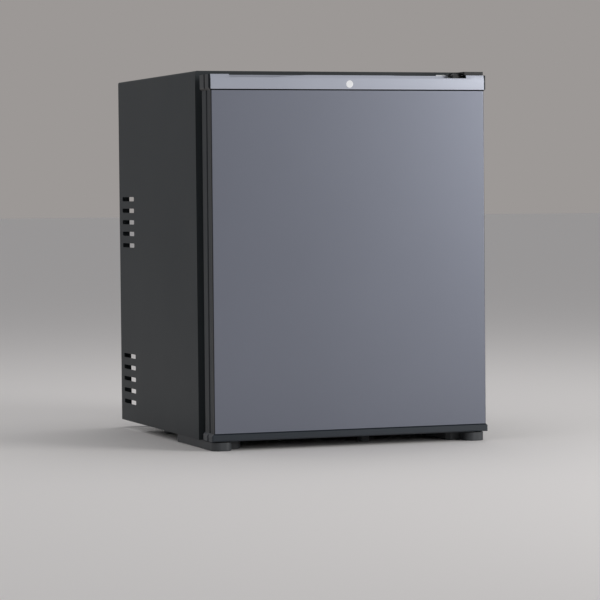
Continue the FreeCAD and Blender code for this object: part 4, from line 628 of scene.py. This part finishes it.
def makeVessel():  # a rolled shell with a dished end welded into each end
    mesh = bmesh.new()
    dish = [(vessel["dish"] * (1 - math.sin(math.radians(turn))), vessel["radius"] * math.cos(math.radians(turn)))
            for turn in range(90, -1, -10)]
    outline = [(vessel["left"] + along, radius) for along, radius in dish]
    outline += [(vessel["right"] - along, radius) for along, radius in reversed(dish)]
    addTurned(mesh, mm(0, unitY, vessel["height"]), (1, 0, 0), outline, 72)
    for place in (vessel["left"] + vessel["dish"], vessel["right"] - vessel["dish"]):
        addRing(mesh, mm(place, unitY, vessel["height"]), (1, 0, 0), vessel["radius"] / 1000, vessel["seam"] / 1000, 72)
    piece = finishPiece("absorberVessel", mesh, "unitPaint")
    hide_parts("absorber_vessel")


makeVessel()

welds = {
    "bead": 1.5,
    "joints": [((-130, unitY, 105.6), (0, 0, 1), 8.2), ((67.6, unitY, 74), (1, 0, 0), 10.2),
               ((116, unitY, 96), (0, 0, 1), 10.2), ((116, unitY, 286), (0, 0, 1), 8.2),
               ((-78, unitY, 294), (0, 0, 1), 8), ((90, unitY, 452), (1, 0, 0), 8)],
}


def makeWelds():  # a bead round each joint of the pipes: place, direction and radius
    mesh = bmesh.new()
    for place, axis, radius in welds["joints"]:
        addRing(mesh, mm(*place), axis, radius / 1000, welds["bead"] / 1000)
    finishPiece("weldBeads", mesh, "unitPaint")


makeWelds()

boiler = {
    "x": 116, "low": 96, "high": 286, "radius": 26, "seam": 2.2, "sink": 0.6, "lip": 0.7,
    "rim": 1.4, "step": 2, "corner": 0.4, "fade": 0.5, "heaterX": 133, "heaterRing": 6.6, "heaterBead": 0.9,
}


def makeBoilerCan():  # a rolled sheet can with seamed ends, sunk a little inside their rims
    low, high, radius, outer = boiler["low"], boiler["high"], boiler["radius"], boiler["radius"] + boiler["lip"]
    end = [(boiler["sink"], 0), (boiler["sink"], radius - boiler["step"]), (0, radius - boiler["rim"]), (0, radius),
           (boiler["corner"], outer), (boiler["seam"], outer), (boiler["seam"] + boiler["fade"], radius)]
    outline = [(low + along, reach) for along, reach in end] + [(high - along, reach) for along, reach in reversed(end)]
    mesh = bmesh.new()
    addTurned(mesh, mm(boiler["x"], unitY, 0), (0, 0, 1), outline, 72)
    top = mm(boiler["heaterX"], unitY, high - boiler["sink"])
    addRing(mesh, top, (0, 0, 1), boiler["heaterRing"] / 1000, boiler["heaterBead"] / 1000, 32, 8)
    piece = finishPiece("boilerCan", mesh, "unitPaint", edge=0.2)
    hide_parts("boiler_casing")


makeBoilerCan()

fins = {
    "count": 10, "first": 84, "pitch": 12, "depth": 40, "height": 46, "gauge": 1, "corner": 4, "z": 452,
    "collar": [(0, 10.6), (0.5, 9.7), (1.2, 9.2), (4.5, 9.1), (4.5, 8.05), (0, 8.05), (0, 10.6)],
    "ribReach": 14.5, "ribWidth": 2, "ribLength": 32, "ribRise": 0.7, "ribSink": 0.1, "ribRounding": 0.5,
}


def makeFins():  # pressed plates, each with a collar that grips the pipe and two stiffening ribs
    mesh = bmesh.new()
    z, wide, long = fins["z"], fins["ribWidth"] / 2, fins["ribLength"] / 2
    for count in range(fins["count"]):
        x = fins["first"] - fins["pitch"] * count
        face = x + fins["gauge"]
        plate = addBox(
            mesh, (x, unitY - fins["depth"] / 2, z - fins["height"] / 2),
            (face, unitY + fins["depth"] / 2, z + fins["height"] / 2),
        )
        thick = fins["gauge"] / 1000
        corners = [edge for edge in edgesAt(plate) if abs((edge.verts[0].co - edge.verts[1].co).x) > thick / 2]
        bevelEdges(mesh, corners, fins["corner"], 5)
        addTurned(mesh, mm(face, unitY, z), (1, 0, 0), fins["collar"], 36)
        for side in (-1, 1):
            y = unitY + side * fins["ribReach"]
            low, high = (face - fins["ribSink"], y - wide, z - long), (face + fins["ribRise"], y + wide, z + long)
            addBlock(mesh, low, high, fins["ribRounding"], 2)
    piece = finishPiece("condenserFins", mesh, "aluminium")
    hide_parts("condenser_fins")


makeFins()

terminal = {
    "left": 146, "right": 196, "front": 143, "back": 183, "low": 96, "high": 166, "lid": 8,
    "groove": 0.3, "grooveDepth": 1, "baseRounding": 3, "lidRounding": 2.5,
    "foot": {"front": 130, "low": 106, "high": 156, "sink": 4, "rounding": 0.8},
    "ribs": {"count": 5, "low": 117, "pitch": 7, "height": 3, "inset": 9, "rise": 0.8, "sink": 0.4, "rounding": 0.5},
    "core": 4, "screwInset": 9,
    "screw": [(-2, 0), (-2, 4.4), (-0.9, 4.4), (-0.9, 5.8), (0, 5.4), (0, 4.2), (-1.6, 4.2), (-1.6, 0)],
}


def makeTerminal():  # base on its foot, lid with ribs, and a groove all round between them
    left, right, low, high, back = (terminal[part] for part in ("left", "right", "low", "high", "back"))
    seam, gap, deep = back - terminal["lid"], terminal["groove"], terminal["grooveDepth"]
    foot, ribs, core = terminal["foot"], terminal["ribs"], terminal["core"] / 2
    mesh = bmesh.new()
    addBlock(mesh, (left, terminal["front"], low), (right, seam - gap, high), terminal["baseRounding"])
    addBlock(mesh, (left + deep, seam - core, low + deep), (right - deep, seam + core, high - deep))  # groove floor
    addBlock(mesh, (left, seam + gap, low), (right, back - ribs["rise"], high), terminal["lidRounding"])
    addBlock(
        mesh, (left, foot["front"], foot["low"]), (right, terminal["front"] + foot["sink"], foot["high"]),
        foot["rounding"], 2,
    )
    for count in range(ribs["count"]):
        z = ribs["low"] + count * ribs["pitch"]
        addBlock(
            mesh, (left + ribs["inset"], back - ribs["rise"] - ribs["sink"], z),
            (right - ribs["inset"], back, z + ribs["height"]), ribs["rounding"], 2,
        )
    for z in (low + terminal["screwInset"], high - terminal["screwInset"]):
        addTurned(mesh, mm((left + right) / 2, back, z), (0, 1, 0), terminal["screw"], 32)
    piece = finishPiece("terminalHousing", mesh, "terminalPlastic")
    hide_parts("terminal_box")


makeTerminal()

gland = {
    "x": 171, "nutTop": 96, "nutLow": 90, "nutRadius": 9, "rounding": 0.6,
    "collar": [(90, 0), (90, 7.4), (89.2, 7.4), (88.2, 6.9), (87.4, 5.9), (87, 5.2), (87, 3.6), (88.4, 3.2), (88.4, 0)],
}


def makeGland():  # the hexagon nut and the clamping collar, closed where a cord would pass
    mesh = bmesh.new()
    top, low, radius = gland["nutTop"], gland["nutLow"], gland["nutRadius"] / 1000
    bmesh.ops.create_cone(
        mesh, cap_ends=True, segments=6, radius1=radius, radius2=radius, depth=(top - low) / 1000,
        matrix=Matrix.Translation(mm(gland["x"], unitY, (top + low) / 2)),
    )
    bevelEdges(mesh, mesh.edges[:], gland["rounding"], 2)
    addTurned(mesh, mm(gland["x"], unitY, 0), (0, 0, 1), gland["collar"], 40)
    piece = finishPiece("glandNut", mesh, "terminalPlastic")
    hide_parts("cable_gland")


makeGland()
print("cooling unit made")

screws = {
    "radius": 3.6, "height": 2.2, "hexagon": 3.348, "chamfer": 0.4, "crown": 0.504, "washer": 0.5, "slope": 0.1,
    "shank": 1.9, "length": 2.4, "recess": (3.6, 0.8, 0.12),
    "sets": {
        "hinge_screws": {"name": "hingeScrews", "out": (0, -1, 0),
                         "places": [(160, -164.7, 499.8), (186, -164.7, 499.8)]},
        "foot_screws": {"name": "footScrews", "out": (0, 0, -1),
                        "places": [(-173.4, -140, 1), (-173.4, -110, 1), (173.4, -140, 1), (173.4, -110, 1)]},
        "bracket_screws": {"name": "bracketScrews", "out": (0, 1, 0),
                           "places": [(-106, 134.2, 108), (22, 134.2, 108)]},
    },
}


def addScrew(mesh, place, out):  # a washer-faced hexagon head with a cross recess, and its shank behind
    out = Vector(out)
    radius, shank, chamfer = screws["radius"], screws["shank"], screws["chamfer"]
    seat = -screws["height"]
    washer, tip = seat + screws["washer"], seat - screws["length"]
    top = Matrix.Translation(mm(*place)) @ out.to_track_quat("Z", "Y").to_matrix().to_4x4()
    hexagon = bmesh.ops.create_circle(
        mesh, cap_ends=True, segments=6, radius=screws["hexagon"] / 1000, matrix=top,
    )["verts"]
    bmesh.ops.inset_region(mesh, faces=hexagon[0].link_faces[:], thickness=screws["crown"] / 1000, depth=0)
    bmesh.ops.translate(mesh, verts=hexagon, vec=-out * chamfer / 1000)
    sides = pulled(mesh, rimOf(hexagon))
    bmesh.ops.translate(mesh, verts=sides, vec=out * (seat + 2 * chamfer) / 1000)
    bmesh.ops.edgeloop_fill(mesh, edges=rimOf(sides))
    outline = [(washer, 0), (washer, radius - screws["slope"]), (seat, radius), (seat, shank), (tip, shank), (tip, 0)]
    addTurned(mesh, mm(*place), out, outline, 28)
    arm = Matrix.Diagonal((*mm(*screws["recess"]), 1))
    for turn in (0, math.pi / 2):  # the two arms of the recess, as thin inlays of painted shade
        recessShade = bmesh.ops.create_cube(mesh, size=1, matrix=top @ Matrix.Rotation(turn, 4, "Z") @ arm)["verts"]
        for vert in recessShade:
            for linked in vert.link_faces:
                linked.material_index = 1


def makeScrews():
    for node, made in screws["sets"].items():
        mesh = bmesh.new()
        for place in made["places"]:
            addScrew(mesh, place, made["out"])
        piece = finishPiece(made["name"], mesh, "zinc")
        # a second slot of black, for the painted shade in the cross recesses
        piece.data.materials.append(materials["blackGloss"])
        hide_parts(node)


makeScrews()

seal = {
    "halfWidth": 173, "low": 42, "high": 482,
    "section": [(-4, -178), (4, -178), (4.7, -176.6), (2.8, -175.2), (4.9, -173.2), (2.8, -171.2), (4.9, -169.2),
                (3.6, -167.5), (5.6, -167), (6, -166.4), (6, -161), (5.3, -160.3), (-5.3, -160.3), (-6, -161),
                (-6, -166.4), (-5.6, -167), (-3.6, -167.5), (-4.9, -169.2), (-2.8, -171.2), (-4.9, -173.2),
                (-2.8, -175.2), (-4.7, -176.6)],
}


def makeSeal():  # a bellows strip with a magnet head, mitred and welded at its four corners
    mesh = bmesh.new()
    verts = [mesh.verts.new(mm(-seal["halfWidth"] - out, y, seal["low"] - out)) for out, y in seal["section"]]
    rim = [mesh.edges.new((verts[index - 1], verts[index])) for index in range(len(verts))]
    middle = (seal["low"] + seal["high"]) / 2
    for flip in ((-1, 1, 1), (1, 1, -1), (-1, 1, 1), (1, 1, -1)):  # from corner to corner, by mirroring
        verts = pulled(mesh, rim)
        bmesh.ops.scale(mesh, vec=flip, space=Matrix.Translation(mm(0, 0, -middle)), verts=verts)
        rim = rimOf(verts)
    piece = finishPiece("bellowsSeal", mesh, "rubber", "door", sharp=60)
    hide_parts("door_seal")


makeSeal()

knob = {
    "x": 134, "z": 459, "face": -99.5, "flutes": 24, "fluteDepth": 0.7, "fluteRows": (-98.5, -90.8), "fluteRadius": 11,
    "outline": [(96.6, 0), (96.6, 3.05), (90.5, 3.05), (90.5, 11), (91, 11.8), (92.4, 12), (97.2, 11.6), (98.9, 11.2),
                (99.5, 10.6), (99.5, 0)],
    "bar": {"front": -104.5, "sink": 0.5, "width": 5, "length": 22.4, "rounding": 1.2},
    "digits": "012345", "digitSize": 3.64, "digitRise": 0.06, "digitRadius": 8.7, "spread": 54, "start": -135,
}
mark = {"reach": 11, "y": -90.2, "radius": 2.2, "topRadius": 1.8, "height": 0.5, "turn": 45}


def addDigit(mesh, digit, turn):  # one raised digit on the knob's face, turned to its place
    writing = bpy.data.curves.new("digit", "FONT")
    writing.body = digit
    writing.size = knob["digitSize"] / 1000
    writing.extrude = knob["digitRise"] / 1000
    writing.align_x = "CENTER"
    writing.align_y = "CENTER"
    holder = bpy.data.objects.new("digit", writing)
    bpy.context.scene.collection.objects.link(holder)
    bpy.context.view_layer.update()
    plain = bpy.data.meshes.new_from_object(holder.evaluated_get(bpy.context.evaluated_depsgraph_get()))
    bpy.data.objects.remove(holder)
    outward = Matrix.Translation((0, knob["digitRadius"] / 1000, 0))
    plain.transform(Matrix.Rotation(math.radians(turn), 4, "Z").inverted() @ outward)
    plain.transform(Matrix.Translation(mm(knob["x"], knob["face"], knob["z"])) @ Matrix.Rotation(math.pi / 2, 4, "X"))
    mesh.from_mesh(plain)
    bpy.data.meshes.remove(plain)


def makeKnob():  # a fluted skirt and a grip bar, with the digits on its face
    mesh = bmesh.new()
    centre = mm(knob["x"], 0, knob["z"])
    lines = knob["flutes"] * 4
    addTurned(mesh, centre, (0, -1, 0), knob["outline"], lines)
    front, back = mm(*knob["fluteRows"])
    for vert in mesh.verts:  # every fourth line of the skirt is pressed in as a flute
        flat = Vector((vert.co.x - centre.x, 0, vert.co.z - centre.z))
        step = round(math.atan2(flat.z, flat.x) / math.tau * lines)
        if flat.length > knob["fluteRadius"] / 1000 and step % 4 == 0 and front < vert.co.y < back:
            vert.co -= flat.normalized() * knob["fluteDepth"] / 1000
    bar, x, z = knob["bar"], knob["x"], knob["z"]
    wide, long = bar["width"] / 2, bar["length"] / 2
    low, high = (x - wide, bar["front"], z - long), (x + wide, knob["face"] + bar["sink"], z + long)
    addBlock(mesh, low, high, bar["rounding"], 4)
    piece = finishPiece("dialKnob", mesh, "trimPlastic", "knob")
    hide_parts("thermostat_knob")
    writing = bmesh.new()
    for count, digit in enumerate(knob["digits"]):
        addDigit(writing, digit, knob["spread"] * count + knob["start"])
    finishPiece("dialDigits", writing, "dialInk", "knob")


def makeMark():  # on the housing: 0 stands at it at rest, 5 at the end of the turn
    mesh = bmesh.new()
    turn = Matrix.Rotation(math.radians(mark["turn"]), 4, "Y") @ Matrix.Rotation(math.pi / 2, 4, "X")
    bmesh.ops.create_cone(
        mesh, cap_ends=True, segments=3, radius1=mark["radius"] / 1000, radius2=mark["topRadius"] / 1000,
        depth=mark["height"] / 1000,
        matrix=Matrix.Translation(mm(knob["x"] - mark["reach"], mark["y"], knob["z"] - mark["reach"])) @ turn,
    )
    finishPiece("dialMark", mesh, "dialInk")


makeKnob()
makeMark()

plug = {"places": [(-46, 135, 452), (-78, 135, 420)], "radius": 9.6, "bead": 2}


def makeGrommets():  # the sealing rings where the two pipes leave the back
    mesh = bmesh.new()
    for place in plug["places"]:
        addRing(mesh, mm(*place), (0, 1, 0), plug["radius"] / 1000, plug["bead"] / 1000)
    finishPiece("pipeGrommets", mesh, "rubber")


makeGrommets()
print("small pieces made")

# the studio; the floor's radius is in metres
studio = {
    "floor": seen(236, 233, 231), "roughness": 0.9, "specular": 0.1, "radius": 40,
    "backdrop": seen(156, 152, 150), "light": seen(208, 208, 210), "strength": 0.58,
}


def makeStudio():  # a round floor of pale paper, the same from every side
    mesh = bmesh.new()
    bmesh.ops.create_circle(mesh, cap_ends=True, segments=96, radius=studio["radius"])
    data = bpy.data.meshes.new("studioFloor")
    mesh.to_mesh(data)
    mesh.free()
    sheet = bpy.data.objects.new("studioFloor", data)
    bpy.context.scene.collection.objects.link(sheet)
    paper = bpy.data.materials.new("paper")
    paper.use_nodes = True
    shader = paper.node_tree.nodes["Principled BSDF"]
    shader.inputs["Base Color"].default_value = studio["floor"]
    shader.inputs["Roughness"].default_value = studio["roughness"]
    shader.inputs["Specular IOR Level"].default_value = studio["specular"]
    data.materials.append(paper)


makeStudio()

# lamps: place and size in metres, power in watts; all look at the middle of the object
aim = Vector((0, 0, 0.25))
lamps = {
    "keyLamp": {"place": (1.65, -1.9, 0.8), "size": 1.1, "power": 31},
    "fillLamp": {"place": (-3.0, -0.8, 1.6), "size": 2.0, "power": 7},
    "topLamp": {"place": (0.3, 0.5, 2.4), "size": 1.6, "power": 12},
}
for name, lamp in lamps.items():
    light = bpy.data.lights.new(name, "AREA")
    light.shape = "SQUARE"
    light.size = lamp["size"]
    light.energy = lamp["power"]
    holder = bpy.data.objects.new(name, light)
    holder.location = lamp["place"]
    holder.rotation_euler = (aim - Vector(lamp["place"])).to_track_quat("-Z", "Y").to_euler()
    bpy.context.scene.collection.objects.link(holder)


def makeWorld():  # soft light all round; the camera itself sees the grey wall of the photograph
    world = bpy.data.worlds.new("room")
    world.use_nodes = True
    tree = world.node_tree
    light = tree.nodes["Background"]
    light.inputs["Color"].default_value = studio["light"]
    light.inputs["Strength"].default_value = studio["strength"]
    wall = tree.nodes.new("ShaderNodeBackground")
    wall.inputs["Color"].default_value = studio["backdrop"]
    path = tree.nodes.new("ShaderNodeLightPath")
    mix = tree.nodes.new("ShaderNodeMixShader")
    tree.links.new(path.outputs["Is Camera Ray"], mix.inputs["Fac"])
    tree.links.new(light.outputs["Background"], mix.inputs[1])
    tree.links.new(wall.outputs["Background"], mix.inputs[2])
    tree.links.new(mix.outputs["Shader"], tree.nodes["World Output"].inputs["Surface"])
    bpy.context.scene.world = world


makeWorld()

# the photograph's view: place in metres, turns in degrees, lens in millimetres
view = {"place": (-1.2984, -3.665, 0.3421), "yaw": 19.563, "pitch": 2.222, "roll": -0.541, "lens": 163.1}
yaw, pitch, roll = (math.radians(view[part]) for part in ("yaw", "pitch", "roll"))
ahead = Vector((math.sin(yaw) * math.cos(pitch), math.cos(yaw) * math.cos(pitch), -math.sin(pitch)))
right = Vector((math.cos(yaw), -math.sin(yaw), 0))
upward = right.cross(ahead)
tiltedRight = right * math.cos(roll) + upward * math.sin(roll)
tiltedUp = upward * math.cos(roll) - right * math.sin(roll)
camera = bpy.data.objects.new("camera", bpy.data.cameras.new("camera"))
camera.data.sensor_width = 36
camera.data.lens = view["lens"]
camera.matrix_world = Matrix.Translation(view["place"]) @ Matrix((tiltedRight, tiltedUp, -ahead)).transposed().to_4x4()
bpy.context.scene.collection.objects.link(camera)
bpy.context.scene.camera = camera
bpy.context.scene.view_settings.view_transform = "Standard"
print("studio ready")
